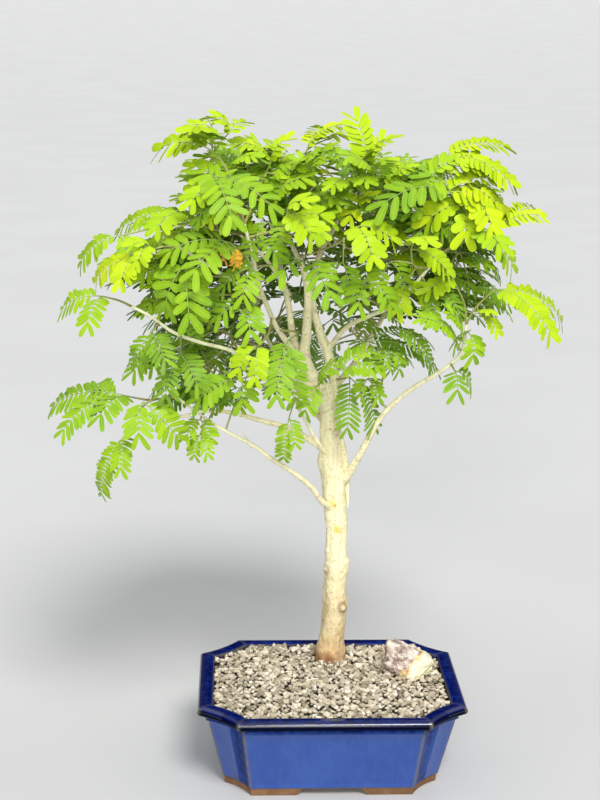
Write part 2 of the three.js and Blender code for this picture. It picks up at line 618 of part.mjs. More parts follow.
// A slab whose top is a jittered grid of high and low points, as loose gravel is.
function makeGravel(cavities) {
  const random = seededRandom(GRAVEL_SEED);
  const jitter = () => GRAVEL_JITTER * (random() - 0.5);
  const columns = Math.ceil(POT_LENGTH / GRAVEL_SPACING);
  const rows = Math.ceil(POT_WIDTH / GRAVEL_SPACING);
  const bottom = SOIL_TOP + GAP;
  const vertices = [];
  for (const layer of ['bottom', 'top']) {
    for (let row = 0; row <= rows; row += 1) {
      for (let column = 0; column <= columns; column += 1) {
        const stagger = row % 2 === 0 ? GRAVEL_STAGGER : -GRAVEL_STAGGER;
        const x = (column - columns / 2 + stagger + jitter()) * GRAVEL_SPACING;
        const y = (row - rows / 2 + jitter()) * GRAVEL_SPACING;
        const high = gravelLevel(x, y) + GRAVEL_RELIEF * (2 * random() - 1);
        vertices.push(new THREE.Vector3(x, y, layer === 'top' ? high : bottom));
      }
    }
  }
  const slab = gridSlab(vertices, columns, rows);
  return slab.intersect(insideOfPot(bottom, POT_HEIGHT)).subtract(joinAll(cavities));
}

// Closed slab from two grids of points, the lower one first.
function gridSlab(vertices, columns, rows) {
  const wide = columns + 1;
  const upper = wide * (rows + 1);
  const triangles = [];
  const quad = (a, b, c, d) => triangles.push([a, b, c], [a, c, d]);
  for (let row = 0; row < rows; row += 1) {
    for (let column = 0; column < columns; column += 1) {
      const a = row * wide + column;
      quad(upper + a, upper + a + 1, upper + a + wide + 1, upper + a + wide);
      quad(a + wide, a + wide + 1, a + 1, a);
    }
  }
  for (let column = 0; column < columns; column += 1) {
    const far = rows * wide + column;
    quad(column, column + 1, upper + column + 1, upper + column);
    quad(far + 1, far, upper + far, upper + far + 1);
  }
  for (let row = 0; row < rows; row += 1) {
    const left = row * wide;
    const right = left + columns;
    quad(left + wide, left, upper + left, upper + left + wide);
    quad(right, right + wide, upper + right + wide, upper + right);
  }
  return solidFromTriangles(vertices, triangles);
}

// Block cut by planes and roughened; `grow` makes it larger all round.
function makeRock(grow) {
  const random = seededRandom(ROCK_SEED);
  const ball = mergeVertices(bareSphere(ROCK_DETAIL), 1e-4);
  const position = ball.attributes.position;
  for (let index = 0; index < position.count; index += 1) {
    const direction = new THREE.Vector3().fromBufferAttribute(position, index).normalize();
    const reach = ROCK_PLANES.map((plane) => {
      const facing = direction.dot(vector(plane).normalize());
      return facing > GRAZING ? plane[3] / facing : Infinity;
    });
    const radius = Math.min(...reach) * (1 + ROCK_ROUGHNESS * (random() - 0.5)) + grow;
    direction.multiplyScalar(radius).add(vector(ROCK_CENTRE));
    position.setXYZ(index, direction.x, direction.y, direction.z);
  }
  return solidFromGeometry(ball);
}

function bareSphere(detail) {
  const sphere = new THREE.IcosahedronGeometry(1, detail);
  sphere.deleteAttribute('normal');
  sphere.deleteAttribute('uv');
  return sphere;
}

// Wood

// Radius at a share of the length, read from the fourth number of each point.
function radiusAlong(points, share) {
  const place = share * (points.length - 1);
  const index = Math.min(Math.floor(place), points.length - 2);
  return THREE.MathUtils.lerp(points[index][3], points[index + 1][3], place - index);
}

// Ribs that wander up the trunk, and the knots.
function trunkRelief(angle, z) {
  let relief = 0;
  for (const [height, count, rise] of TRUNK_RIBS) {
    relief += height * Math.cos(count * angle + z / rise);
  }
  for (const [height, compass, size] of KNOTS) {
    const turn = Math.cos(angle - THREE.MathUtils.degToRad(compass)) - 1;
    relief += size * Math.exp(-(((z - height) / KNOT_REACH) ** 2) + KNOT_TIGHTNESS * turn);
  }
  return relief;
}

// All wood as one solid; `grow` makes it thicker all round.
function makeWood(grow) {
  const trunk = tube(TRUNK.map(vector), TRUNK_SIDES, (share, angle, centre) => (
    radiusAlong(TRUNK, share) + trunkRelief(angle, centre.z) + grow
  ));
  const limbs = BRANCHES.map((points) => {
    const sides = points[0][3] > THICK_BRANCH ? THICK_SIDES : THIN_SIDES;
    return tube(points.map(vector), sides, (share) => radiusAlong(points, share) + grow);
  });
  return joinAll([trunk, ...limbs]);
}

// Leafy shoots

// The point of some paths, each a list of points, that is nearest to a place.
function nearestOn(paths, place) {
  const feet = paths.flatMap((path) => path.slice(1).map((point, index) => (
    new THREE.Line3(path[index], point).closestPointToPoint(place, true, new THREE.Vector3())
  )));
  return feet.reduce((best, foot) => (foot.distanceTo(place) < best.distanceTo(place) ? foot : best));
}

// Places of the leaflets on one feather, from the fork to the tip. `up` is the way its upper
// side faces and `other` the reach of the other feather; leaflets on that side stay short
// enough not to reach it, and the ones that would be mere stubs are left out.
function featherRows(fork, tip, up, other, pairs, leaflet, random) {
  const reach = tip.clone().sub(fork);
  const ribLength = reach.length() - RIB_END * leaflet;
  const halfSpread = Math.min(0.5 * reach.angleTo(other), WIDEST_HALF_SPREAD);
  reach.normalize();
  const end = fork.clone().addScaledVector(reach, ribLength);
  const middle = fork.clone().lerp(end, 0.5).addScaledVector(up, 2 * RIB_ARCH * ribLength);
  const rib = new THREE.QuadraticBezierCurve3(fork, middle, end);
  const across = new THREE.Vector3().crossVectors(up, reach).normalize();
  const inner = Math.sign(across.dot(other));
  const pitch = (1 - FIRST_LEAFLET) / (pairs - 1);
  const width = Math.min(LEAFLET_FILL * pitch * ribLength, LEAFLET_SLIMNESS * leaflet);
  const sides = [1, -1].map((side) => Array.from({ length: pairs }, (_, pair) => {
    const last = pair === pairs - 1;
    const share = FIRST_LEAFLET + pair * pitch;
    const angle = last ? LAST_ANGLE : THREE.MathUtils.lerp(FIRST_ANGLE, MIDDLE_ANGLE, share);
    const along = rib.getTangent(share);
    const out = along.clone().multiplyScalar(Math.cos(angle))
      .addScaledVector(across, side * Math.sin(angle))
      .addScaledVector(up, -LEAFLET_DROOP * (0.5 + random()));
    const forward = along.multiplyScalar(Math.sin(angle)).addScaledVector(across, -side * Math.cos(angle));
    const room = INNER_ROOM * share * ribLength * Math.tan(halfSpread);
    const variation = 1 + LENGTH_VARIATION * (random() - 0.5);
    const full = leaflet * THREE.MathUtils.lerp(SMALLEST_LEAFLET, 1, share) * variation;
    const length = side === inner && !last ? Math.min(full, room) : full;
    const corner = ([far, aside]) => rib.getPoint(share)
      .addScaledVector(out, far * length)
      .addScaledVector(forward, aside * width);
    const notch = rib.getPoint(Math.max(share - NOTCH_BACK * pitch, FIRST_NOTCH));
    return {
      notch: notch.addScaledVector(across, side * RIB_WIDTH / 2),
      corners: length < SHORTEST_LEAFLET * leaflet ? [] : [corner(NEAR_CORNER), corner(FAR_CORNER)],
    };
  }));
  return { left: sides[0], right: sides[1], tip: end.addScaledVector(reach, FEATHER_TIP * leaflet) };
}

// Thin blade of a whole leaf: points in its middle plane, each with the way its upper side
// faces, faces between them, and the border listed anticlockwise seen from above.
class LeafBlade {
  constructor() {
    this.points = [];
    this.faces = [];
    this.border = [];
  }

  add(point, up) {
    this.points.push({ point, up });
    return this.points.length - 1;
  }

  // Adds a feather that grows from the edge between two points.
  addFeather(leftRoot, rightRoot, { left, right, tip }, up) {
    const place = (row) => ({
      notch: this.add(row.notch, up),
      corners: row.corners.map((corner) => this.add(corner, up)),
    });
    const leftRows = left.map(place);
    const rightRows = right.map(place);
    const tipPoint = this.add(tip, up);
    let [a, d] = [leftRoot, rightRoot];
    leftRows.forEach(({ notch }, pair) => {
      const other = rightRows[pair].notch;
      this.faces.push([a, d, other], [a, other, notch]);
      [a, d] = [notch, other];
    });
    this.faces.push([a, d, tipPoint]);
    leftRows.forEach(({ notch, corners: [b, c] }, pair) => {
      const next = leftRows[pair + 1]?.notch ?? tipPoint;
      if (c !== undefined) this.faces.push([notch, next, c], [notch, c, b]);
    });
    rightRows.forEach(({ notch, corners: [e, f] }, pair) => {
      const next = rightRows[pair + 1]?.notch ?? tipPoint;
      if (f !== undefined) this.faces.push([notch, e, f], [notch, f, next]);
    });
    const flat = (rows) => rows.flatMap(({ notch, corners }) => [notch, ...corners]);
    this.border.push(...flat(rightRows), tipPoint, ...flat(leftRows).reverse());
  }

  // Solid with equal faces, half a thickness above and below the middle plane.
  solid() {
    const count = this.points.length;
    const shifted = (step) => this.points.map(({ point, up }) => point.clone().addScaledVector(up, step));
    const triangles = [...this.faces, ...this.faces.map(([a, b, c]) => [count + a, count + c, count + b])];
    this.border.forEach((point, index) => {
      const next = this.border[(index + 1) % this.border.length];
      triangles.push([point, count + point, count + next], [point, count + next, next]);
    });
    return solidFromTriangles([...shifted(BLADE_THICKNESS / 2), ...shifted(-BLADE_THICKNESS / 2)], triangles);
  }
}

// The way a leaf's upper side would face if nothing held it: upwards, and outwards from the
// middle of the crown.
function lightFrom(place) {
  const outward = place.clone().sub(vector(CROWN_MIDDLE)).multiply(vector(OUTWARD)).divideScalar(CROWN_RADIUS);
  return outward.add(new THREE.Vector3(0, 0, 1)).normalize();
}

// Blade with the two feathers of a leaf, which part at the fork. `stalk` is the direction of
// the leafstalk there.
function leafBlade([forkRow, tipA, tipB, pairs, leaflet], stalk, random) {
  const fork = vector(forkRow);
  const tips = [tipA, tipB].map(vector);
  const reaches = tips.map((tip) => tip.clone().sub(fork));
  const light = lightFrom(fork);
  const ups = reaches.map((reach) => light.clone().projectOnPlane(reach.clone().normalize()).normalize());
  const up = ups[0].clone().add(ups[1]).normalize();
  const [a, b] = reaches.map((reach) => reach.clone().normalize());
  const forward = a.clone().add(b).addScaledVector(stalk, STALK_PULL).projectOnPlane(up).normalize();
  const leftward = new THREE.Vector3().crossVectors(up, forward);
  const [left, right] = a.dot(leftward) > b.dot(leftward) ? [0, 1] : [1, 0];
  const crotchReach = Math.min(RIB_WIDTH / 2 / Math.sin(0.5 * a.angleTo(b)), LONGEST_CROTCH);

  const blade = new LeafBlade();
  const base = fork.clone().addScaledVector(forward, -RIB_WIDTH / 4);
  const rightRoot = blade.add(base.clone().addScaledVector(leftward, -RIB_WIDTH / 2), up);
  const crotch = blade.add(fork.clone().addScaledVector(forward, crotchReach), up);
  const leftRoot = blade.add(base.clone().addScaledVector(leftward, RIB_WIDTH / 2), up);
  const rows = (one, other) => featherRows(fork, tips[one], ups[one], reaches[other], pairs, leaflet, random);
  blade.faces.push([rightRoot, crotch, leftRoot]);
  blade.border.push(rightRoot);
  blade.addFeather(crotch, rightRoot, rows(right, left), ups[right]);
  blade.border.push(crotch);
  blade.addFeather(leftRoot, crotch, rows(left, right), ups[left]);
  blade.border.push(leftRoot);
  return blade.solid();
}

function makeShoot(shoot, woodLines, seed) {
  const random = seededRandom(seed);
  const firstFork = vector(shoot.leaves[0][0]);
  const points = [...shoot.stem.map(vector), firstFork];
  const stem = [nearestOn(woodLines, points[0]), ...points];
  const thickness = (share) => THREE.MathUtils.lerp(STEM_RADIUS, STEM_TIP_RADIUS, share);
  const pieces = [tube(stem, STEM_SIDES, thickness)];
  shoot.leaves.forEach((leaf, index) => {
    const fork = vector(leaf[0]);
    const from = index === 0 ? stem[stem.length - 2] : nearestOn([stem], fork);
    const stalk = fork.clone().sub(from).normalize();
    if (index > 0) pieces.push(tube([from, fork], PETIOLE_SIDES, () => PETIOLE_RADIUS));
    pieces.push(leafBlade(leaf, stalk, random));
  });
  return joinAll(pieces);
}

// The straight lines of a shoot: its stem and stalks, and the ribs of its feathers.
function shootLines({ stem, leaves }, woodLines) {
  const points = [...stem.map(vector), vector(leaves[0][0])];
  const main = [nearestOn(woodLines, points[0]), ...points];
  const stalks = leaves.slice(1).map(([fork]) => [nearestOn([main], vector(fork)), vector(fork)]);
  const ribs = leaves.flatMap(([fork, tipA, tipB]) => [[fork, tipA], [fork, tipB]]);
  return { stems: [main, ...stalks], ribs: ribs.map((rib) => rib.map(vector)) };
}

// A spray at a random place in the dome, in the form of a row of SHOOTS.
function trySpray(random) {
  const turn = 2 * Math.PI * random();
  const rise = DOME_LOW + (DOME_HIGH - DOME_LOW) * random();
  const depth = DOME_DEPTH + (1 - DOME_DEPTH) * random();
  const level = Math.sqrt(1 - rise * rise);
  const way = new THREE.Vector3(level * Math.cos(turn), level * Math.sin(turn), rise);
  const end = vector(DOME_MIDDLE).addScaledVector(way.clone().multiply(vector(DOME_REACH)), depth);
  const middle = vector(DOME_MIDDLE).lerp(end, SPRAY_ROOT);
  middle.z += STEM_RISE;
  const leaves = SPRAY_LEAVES.map(([share, side]) => {
    const angle = turn + side * SPRAY_TURN;
    const tilt = OUTWARD_TILT * rise - OUTWARD_DROP;
    const out = new THREE.Vector3(Math.cos(angle), Math.sin(angle), tilt).normalize();
    const across = new THREE.Vector3(Math.sin(angle), -Math.cos(angle), 0);
    const fork = middle.clone().lerp(end, share).addScaledVector(out, side === 0 ? 0 : SPRAY_STALK);
    const tips = [1, -1].map((hand) => fork.clone()
      .addScaledVector(out, FEATHER_REACH * Math.cos(HALF_SPREAD))
      .addScaledVector(across, hand * FEATHER_REACH * Math.sin(HALF_SPREAD)));
    return [fork.toArray(), tips[0].toArray(), tips[1].toArray(), SPRAY_PAIRS, SPRAY_LEAFLET];
  });
  return { tone: 0.5 + 0.45 * rise, stem: [middle.toArray()], leaves };
}

// Points spread along some lines, for the tests of what is near.
function pointsOn(lines) {
  return lines.flatMap((line) => line.slice(1).flatMap((end, index) => (
    TESTED_SHARES.map((share) => line[index].clone().lerp(end, share))
  )));
}

function isFar(points, lines, room) {
  return points.every((point) => nearestOn(lines, point).distanceTo(point) > room);
}

// The first of many tried sprays that stay clear of the opening, the branches and all other
// leaves, and whose stem isn't long.
function chooseSprays(branchLines) {
  const random = seededRandom(SPRAY_SEED);
  const opening = new THREE.Box3(...OPENING.map(vector));
  const known = SHOOTS.map((shoot) => shootLines(shoot, branchLines));
  const chosen = [];
  for (let tries = 0; tries < SPRAY_TRIES && chosen.length < SPRAYS; tries += 1) {
    const spray = trySpray(random);
    const { stems, ribs } = shootLines(spray, branchLines);
    const [ribPoints, stemPoints] = [pointsOn(ribs), pointsOn(stems)];
    const knownRibs = known.flatMap((lines) => lines.ribs);
    const knownStems = known.flatMap((lines) => lines.stems);
    const fits = stems[0][0].distanceTo(stems[0][2]) < LONGEST_SPRAY
      && [...ribPoints, ...stemPoints].every((point) => !opening.containsPoint(point))
      && isFar(ribPoints, knownRibs, LEAF_ROOM)
      && isFar(ribPoints, knownStems, STEM_ROOM)
      && isFar(stemPoints, knownRibs, STEM_ROOM)
      && isFar(ribPoints, branchLines, WOOD_ROOM);
    if (fits) {
      known.push({ stems, ribs });
      chosen.push({ name: `crown_spray_${String(chosen.length + 1).padStart(2, '0')}`, ...spray });
    }
  }
  return chosen;
}

function leafColour(tone) {
  return new THREE.Color(COLOURS.leafOld).lerp(new THREE.Color(COLOURS.leafNew), tone);
}

// Assembly

const bonsai = new THREE.Group();
const wood = makeWood(0);
const woodRoom = makeWood(GAP);
const rockRoom = makeRock(GAP);

bonsai.add(meshFromSolid('pot', makePot(), COLOURS.glaze, 0.15));
bonsai.add(meshFromSolid('drain_screen_left', makeScreen(-DRAIN_OFFSET), COLOURS.screen, 0.6));
bonsai.add(meshFromSolid('drain_screen_right', makeScreen(DRAIN_OFFSET), COLOURS.screen, 0.6));
bonsai.add(meshFromSolid('soil', makeSoil([woodRoom]), COLOURS.soil, 0.95));
bonsai.add(meshFromSolid('gravel', makeGravel([woodRoom, rockRoom]), COLOURS.gravel, 0.9));
bonsai.add(meshFromSolid('rock', makeRock(0), COLOURS.rock, 0.85));
bonsai.add(meshFromSolid('trunk', wood, COLOURS.bark, 0.85));

const woodLines = [TRUNK, ...BRANCHES].map((points) => points.map(vector));
const allShoots = [...SHOOTS, ...chooseSprays(woodLines.slice(1))];
for (const name of new Set(allShoots.map((shoot) => shoot.name))) {
  const together = allShoots.filter((shoot) => shoot.name === name);
  const leafy = joinAll(together.map((shoot) => makeShoot(shoot, woodLines, allShoots.indexOf(shoot) + 1)));
  bonsai.add(meshFromSolid(name, leafy.subtract(woodRoom), leafColour(together[0].tone), 0.6));
}

const bounds = new THREE.Box3().setFromObject(bonsai);
const middle = bounds.getCenter(new THREE.Vector3());
bonsai.position.set(-middle.x, -middle.y, -bounds.min.z);

export default bonsai;
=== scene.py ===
# %% [markdown]
# # A powder puff bonsai in a blue glazed pot
# The tree has a slim pale trunk, thin branches and feathery leaves that divide twice. It stands
# in a rectangular pot with hollow cut corners, under gravel and a rock. Each cell below makes one
# piece of it or one finish. All sizes are written in millimetres and measured from the middle of
# the pot, on the surface that its feet stand on, and are turned into metres at the last moment.

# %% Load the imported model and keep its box
import math

import bpy
import numpy as np
from mathutils import Matrix, Vector


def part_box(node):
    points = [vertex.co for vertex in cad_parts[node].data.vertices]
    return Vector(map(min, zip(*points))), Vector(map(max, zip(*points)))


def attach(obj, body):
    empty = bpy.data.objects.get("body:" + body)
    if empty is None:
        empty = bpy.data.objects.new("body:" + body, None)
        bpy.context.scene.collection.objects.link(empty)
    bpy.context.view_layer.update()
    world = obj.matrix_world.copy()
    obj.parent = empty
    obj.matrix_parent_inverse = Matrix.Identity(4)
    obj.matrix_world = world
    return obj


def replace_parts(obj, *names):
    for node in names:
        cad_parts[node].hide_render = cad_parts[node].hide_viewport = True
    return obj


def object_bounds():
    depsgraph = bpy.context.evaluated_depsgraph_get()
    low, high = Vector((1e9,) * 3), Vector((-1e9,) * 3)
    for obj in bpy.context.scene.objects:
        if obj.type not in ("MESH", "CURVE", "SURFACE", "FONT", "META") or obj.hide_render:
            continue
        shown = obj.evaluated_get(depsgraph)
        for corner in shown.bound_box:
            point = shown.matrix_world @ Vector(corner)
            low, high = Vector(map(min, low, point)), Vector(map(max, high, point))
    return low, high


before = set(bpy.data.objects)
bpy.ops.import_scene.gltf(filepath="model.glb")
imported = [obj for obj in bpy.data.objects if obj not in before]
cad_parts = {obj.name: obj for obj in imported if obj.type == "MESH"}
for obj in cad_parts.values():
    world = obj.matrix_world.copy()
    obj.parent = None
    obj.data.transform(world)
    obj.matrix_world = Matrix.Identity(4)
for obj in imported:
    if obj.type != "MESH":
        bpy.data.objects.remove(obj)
cad_box = [list(corner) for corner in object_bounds()]
MM = 0.001
pot_low, pot_high = (np.array(corner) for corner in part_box("pot"))
POT_MIDDLE = np.array([*(0.5 * (pot_low + pot_high))[:2], 0.0])
POT_LENGTH, POT_WIDTH, POT_HEIGHT = (pot_high - pot_low) / MM
print("pot", POT_LENGTH, POT_WIDTH, POT_HEIGHT, "middle", POT_MIDDLE)


def new_object(name, data):
    """An object that shows in the scene."""
    item = bpy.data.objects.new(name, data)
    bpy.context.scene.collection.objects.link(item)
    return item



# %% [markdown]
# ## Camera
# The picture was taken from in front and a little above, by a camera about 1.3 metres away that
# looked slightly to the right. Its place and angles follow from the pot's rim, whose shape is
# known: the rim's four sides meet the picture where they do from only one place.

# %% Place the camera
CAMERA_PLACE = np.array([-72.9, -1230.9, 579.5])
CAMERA_DOWN = 13.05
CAMERA_RIGHT = 2.236
CAMERA_ROLL = 0.55
CAMERA_LENS = 75.75
SENSOR_WIDTH = 36.0


def place_camera():
    """Looks along +Y, then turns right, then down, then rolls about its own axis."""
    data = bpy.data.cameras.new("camera")
    data.lens = CAMERA_LENS
    data.sensor_width = SENSOR_WIDTH
    camera = new_object("camera", data)
    turn = Matrix.Rotation(math.radians(-CAMERA_RIGHT), 4, "Z")
    tip = Matrix.Rotation(math.radians(90 - CAMERA_DOWN), 4, "X")
    roll = Matrix.Rotation(math.radians(CAMERA_ROLL), 4, "Z")
    camera.matrix_world = Matrix.Translation(POT_MIDDLE + CAMERA_PLACE * MM) @ turn @ tip @ roll
    bpy.context.scene.camera = camera
    return camera


camera = place_camera()
print("camera at", [round(value, 4) for value in camera.location])

# %% [markdown]
# ## Surfaces as arrays
# Every piece below is a set of points that a formula gives, and faces that join them. Loops over
# points would be slow and hard to read, so numpy works out whole arrays at once. A `Shape`
# gathers such parts, and turns them into one mesh at the end. Each point also carries four
# numbers, its paint, which the piece's material reads as masks.

# %% Gather parts into a mesh
class Shape:
    """Points, faces and paint, gathered part by part into one object."""

    def __init__(self):
        self.points, self.paint, self.faces, self.finishes = [], [], {3: [], 4: []}, {3: [], 4: []}
        self.count = 0

    def add(self, points, faces, paint=(0, 0, 0, 0), finish=0):
        """Adds points and lists of faces. `finish` is the number of their material, or a number
        for each face."""
        points = np.asarray(points, float).reshape(-1, 3)
        self.points.append(points)
        self.paint.append(np.broadcast_to(np.asarray(paint, float).reshape(-1, 4), (len(points), 4)))
        for group in faces:
            self.faces[group.shape[1]].append(group + self.count)
            self.finishes[group.shape[1]].append(np.broadcast_to(finish, len(group)))
        self.count += len(points)

    def make(self, name, materials, slot, smooth=True, sharp=None):
        """Makes the object, in metres, and lets it ride on the one body of the part."""
        sizes = [size for size in (3, 4) if self.faces[size]]
        corners = np.concatenate([np.concatenate(self.faces[size]).ravel() for size in sizes])
        totals = np.concatenate([np.full(sum(map(len, self.faces[size])), size) for size in sizes])
        finishes = np.concatenate([np.concatenate(self.finishes[size]) for size in sizes])
        points = np.concatenate(self.points) * MM + POT_MIDDLE
        mesh = bpy.data.meshes.new(name)
        mesh.vertices.add(len(points))
        mesh.vertices.foreach_set("co", points.ravel())
        mesh.loops.add(len(corners))
        mesh.loops.foreach_set("vertex_index", corners.astype(np.int32))
        mesh.polygons.add(len(totals))
        mesh.polygons.foreach_set("loop_start", (np.cumsum(totals) - totals).astype(np.int32))
        mesh.polygons.foreach_set("material_index", finishes.astype(np.int32))
        mesh.polygons.foreach_set("use_smooth", np.full(len(totals), smooth))
        paint = mesh.attributes.new("paint", "FLOAT_COLOR", "POINT")
        paint.data.foreach_set("color", np.concatenate(self.paint).astype(np.float32).ravel())
        mesh.update(calc_edges=True)
        mesh.validate()
        if sharp is not None:
            mesh.set_sharp_from_angle(angle=math.radians(sharp))
        for material in materials:
            mesh.materials.append(material)
        piece = new_object(name, mesh)
        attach(piece, "root")
        print(name, len(points), "points", int((totals - 2).sum()), "triangles")
        return piece


def grid_faces(rows, columns, wrap=False):
    """Quads between neighbours of a grid of points; `wrap` joins the last column to the first."""
    across = columns if wrap else columns - 1
    row, column = np.meshgrid(np.arange(rows - 1), np.arange(across), indexing="ij")
    corner, beside = row * columns + column, row * columns + (column + 1) % columns
    return np.stack([corner, beside, beside + columns, corner + columns], -1).reshape(-1, 4)


def round_angles(count):
    """Angles at equal steps round a full turn."""
    return np.arange(count) * 2 * math.pi / count


def unit(vectors):
    """Vectors scaled to length one."""
    return vectors / np.maximum(np.linalg.norm(vectors, axis=-1, keepdims=True), 1e-9)


def smooth_step(value):
    """0 below 0, 1 above 1, and a soft slope between."""
    value = np.clip(value, 0, 1)
    return value * value * (3 - 2 * value)


def ripples(points, wavelength, count, seed):
    """Smooth wandering values from about -1 to 1: the mean of sine waves in random directions."""
    random = np.random.default_rng(seed)
    directions = unit(random.normal(size=(count, 3)))
    lengths = wavelength * random.uniform(0.6, 1.6, count)
    phases = random.uniform(0, 2 * math.pi, count)
    waves = np.sin(points @ (2 * math.pi * directions / lengths[:, None]).T + phases)
    return waves.sum(-1) * math.sqrt(2 / count)


# %% [markdown]
# ## Tubes
# Trunk, branches, stems, leafstalks and ribs are all tubes: a round section carried along a path.
# The section needs two directions square to the path. They come from the plane that the path
# lies in most nearly, since the path never runs square to its own plane, so the tube never
# twists over.

# %% Carry a round section along paths
def tube_points(paths, radii, sides):
    """Points on tubes round many paths at once: paths (count, rings, 3), radii (count, rings) or
    (count, rings, sides). Point = centre + radius (cos angle x one way + sin angle x other way)."""
    along = unit(np.gradient(paths, axis=1))
    spread = paths - paths.mean(1, keepdims=True)
    plane = np.linalg.svd(spread + 1e-6, full_matrices=False)[2][:, 2, :]
    first = unit(np.cross(along, plane[:, None, :]))
    second = np.cross(along, first)
    angle = round_angles(sides)
    radii = np.broadcast_to(radii[..., None] if radii.ndim == 2 else radii, (*paths.shape[:2], sides))
    turn = first[:, :, None] * np.cos(angle)[:, None] + second[:, :, None] * np.sin(angle)[:, None]
    return paths[:, :, None] + radii[..., None] * turn


def tube_faces(count, rings, sides):
    """Quads and round ends of `count` tubes; each tube has its rings, then its two end points."""
    wall = grid_faces(rings, sides, wrap=True)
    side = np.arange(sides)
    start, end = rings * sides, rings * sides + 1
    last = (rings - 1) * sides
    caps = np.concatenate([
        np.stack([np.full(sides, start), (side + 1) % sides, side], -1),
        np.stack([np.full(sides, end), last + side, last + (side + 1) % sides], -1),
    ])
    shift = np.arange(count)[:, None, None] * (rings * sides + 2)
    return (wall + shift).reshape(-1, 4), (caps + shift).reshape(-1, 3)


def add_tubes(shape, paths, radii, sides, paint, finish=0):
    """Adds closed tubes. `paint` is one row of four numbers, or one for each tube and ring."""
    paths, radii = np.asarray(paths, float), np.asarray(radii, float)
    count, rings = paths.shape[:2]
    points = tube_points(paths, radii, sides).reshape(count, -1, 3)
    ends = paths[:, [0, -1]]
    paint = np.broadcast_to(np.asarray(paint, float), (count, rings, 4))
    on_rings = np.repeat(paint, sides, axis=1)
    shape.add(
        np.concatenate([points, ends], 1),
        tube_faces(count, rings, sides),
        np.concatenate([on_rings, paint[:, [0, -1]]], 1),
        finish,
    )


def spline(rows, steps):
    """Smooth curve through rows of any numbers (Catmull-Rom), `steps` points to each span."""
    rows = np.asarray(rows, float)
    padded = np.vstack([2 * rows[0] - rows[1], rows, 2 * rows[-1] - rows[-2]])
    t = np.linspace(0, 1, steps, endpoint=False)[None, :, None]
    a, b, c, d = (padded[k:len(padded) - 3 + k][:, None] for k in range(4))
    curve = 0.5 * (2 * b + (c - a) * t + (2 * a - 5 * b + 4 * c - d) * t**2
                   + (3 * b - a - 3 * c + d) * t**3)
    return np.vstack([curve.reshape(-1, rows.shape[1]), rows[-1]])


def bezier(start, control, end, share):
    """Points of the arc that leaves `start` towards `control` and comes into `end` from it."""
    share = np.asarray(share)[..., None]
    return (1 - share)**2 * start + 2 * share * (1 - share) * control + share**2 * end


# %% [markdown]
# ## Materials from nodes
# Each finish is a Principled shader whose colour, roughness and bump come from nodes. Three
# effects come back in many finishes: mottling, fine grain and a colour that shows only where a
# mask says so. They are built once as node groups, and each finish places them with its own
# numbers.

# %% Small helpers for nodes
def set_inputs(tree, node, inputs):
    """Gives each input its value: a number, a colour or another node's output."""
    for name, value in inputs.items():
        if isinstance(value, bpy.types.NodeSocket):
            tree.links.new(value, node.inputs[name])
        else:
            node.inputs[name].default_value = value
    return node


def add_node(tree, kind, inputs=None, **settings):
    """Adds a shader node with its settings and inputs."""
    node = tree.nodes.new("ShaderNode" + kind)
    for name, value in settings.items():
        setattr(node, name, value)
    return set_inputs(tree, node, inputs or {})


def mix(tree, factor, first, second):
    """Mixes two colours by a factor."""
    return add_node(tree, "Mix", {0: factor, 6: first, 7: second}, data_type="RGBA").outputs[2]


def math_node(tree, operation, *values):
    """One sum on numbers."""
    node = add_node(tree, "Math", dict(enumerate(values)), operation=operation)
    return node.outputs[0]


def tinted(tree, colour, mask, amount, tint):
    """A colour with a tint over it, by an amount where a mask shows it."""
    return mix(tree, math_node(tree, "MULTIPLY", mask, amount), colour, tint)


def ramp(tree, factor, stops):
    """A colour ramp from pairs of position and colour."""
    node = add_node(tree, "ValToRGB", {"Fac": factor})
    elements = node.color_ramp.elements
    while len(elements) < len(stops):
        elements.new(1.0)
    for element, (position, colour) in zip(elements, stops):
        element.position = position
        element.color = (*colour, 1.0)
    return node.outputs["Color"]


def new_group(name, inputs, outputs):
    """An empty node group with named sockets: name, kind and, for inputs, the default."""
    group = bpy.data.node_groups.new(name, "ShaderNodeTree")
    for title, kind, value in inputs:
        socket = group.interface.new_socket(title, in_out="INPUT", socket_type="NodeSocket" + kind)
        if kind != "Vector":
            socket.default_value = value
    for title, kind in outputs:
        group.interface.new_socket(title, in_out="OUTPUT", socket_type="NodeSocket" + kind)
    return group, group.nodes.new("NodeGroupInput"), group.nodes.new("NodeGroupOutput")


# %% Build the shared effects
def make_mottling():
    """Soft patches: noise at a scale, squeezed to the range between two limits."""
    group, inside, outside = new_group(
        "mottling",
        [("Place", "Vector", None), ("Scale", "Float", 50.0), ("Low", "Float", 0.35),
         ("High", "Float", 0.65)],
        [("Amount", "Float")],
    )
    noise = add_node(group, "TexNoise", {
        "Vector": inside.outputs["Place"], "Scale": inside.outputs["Scale"], "Detail": 4.0,
    })
    limits = add_node(group, "MapRange", {
        "Value": noise.outputs[0],
        "From Min": inside.outputs["Low"], "From Max": inside.outputs["High"],
    }, interpolation_type="SMOOTHSTEP")
    group.links.new(limits.outputs[0], outside.inputs["Amount"])
    return group


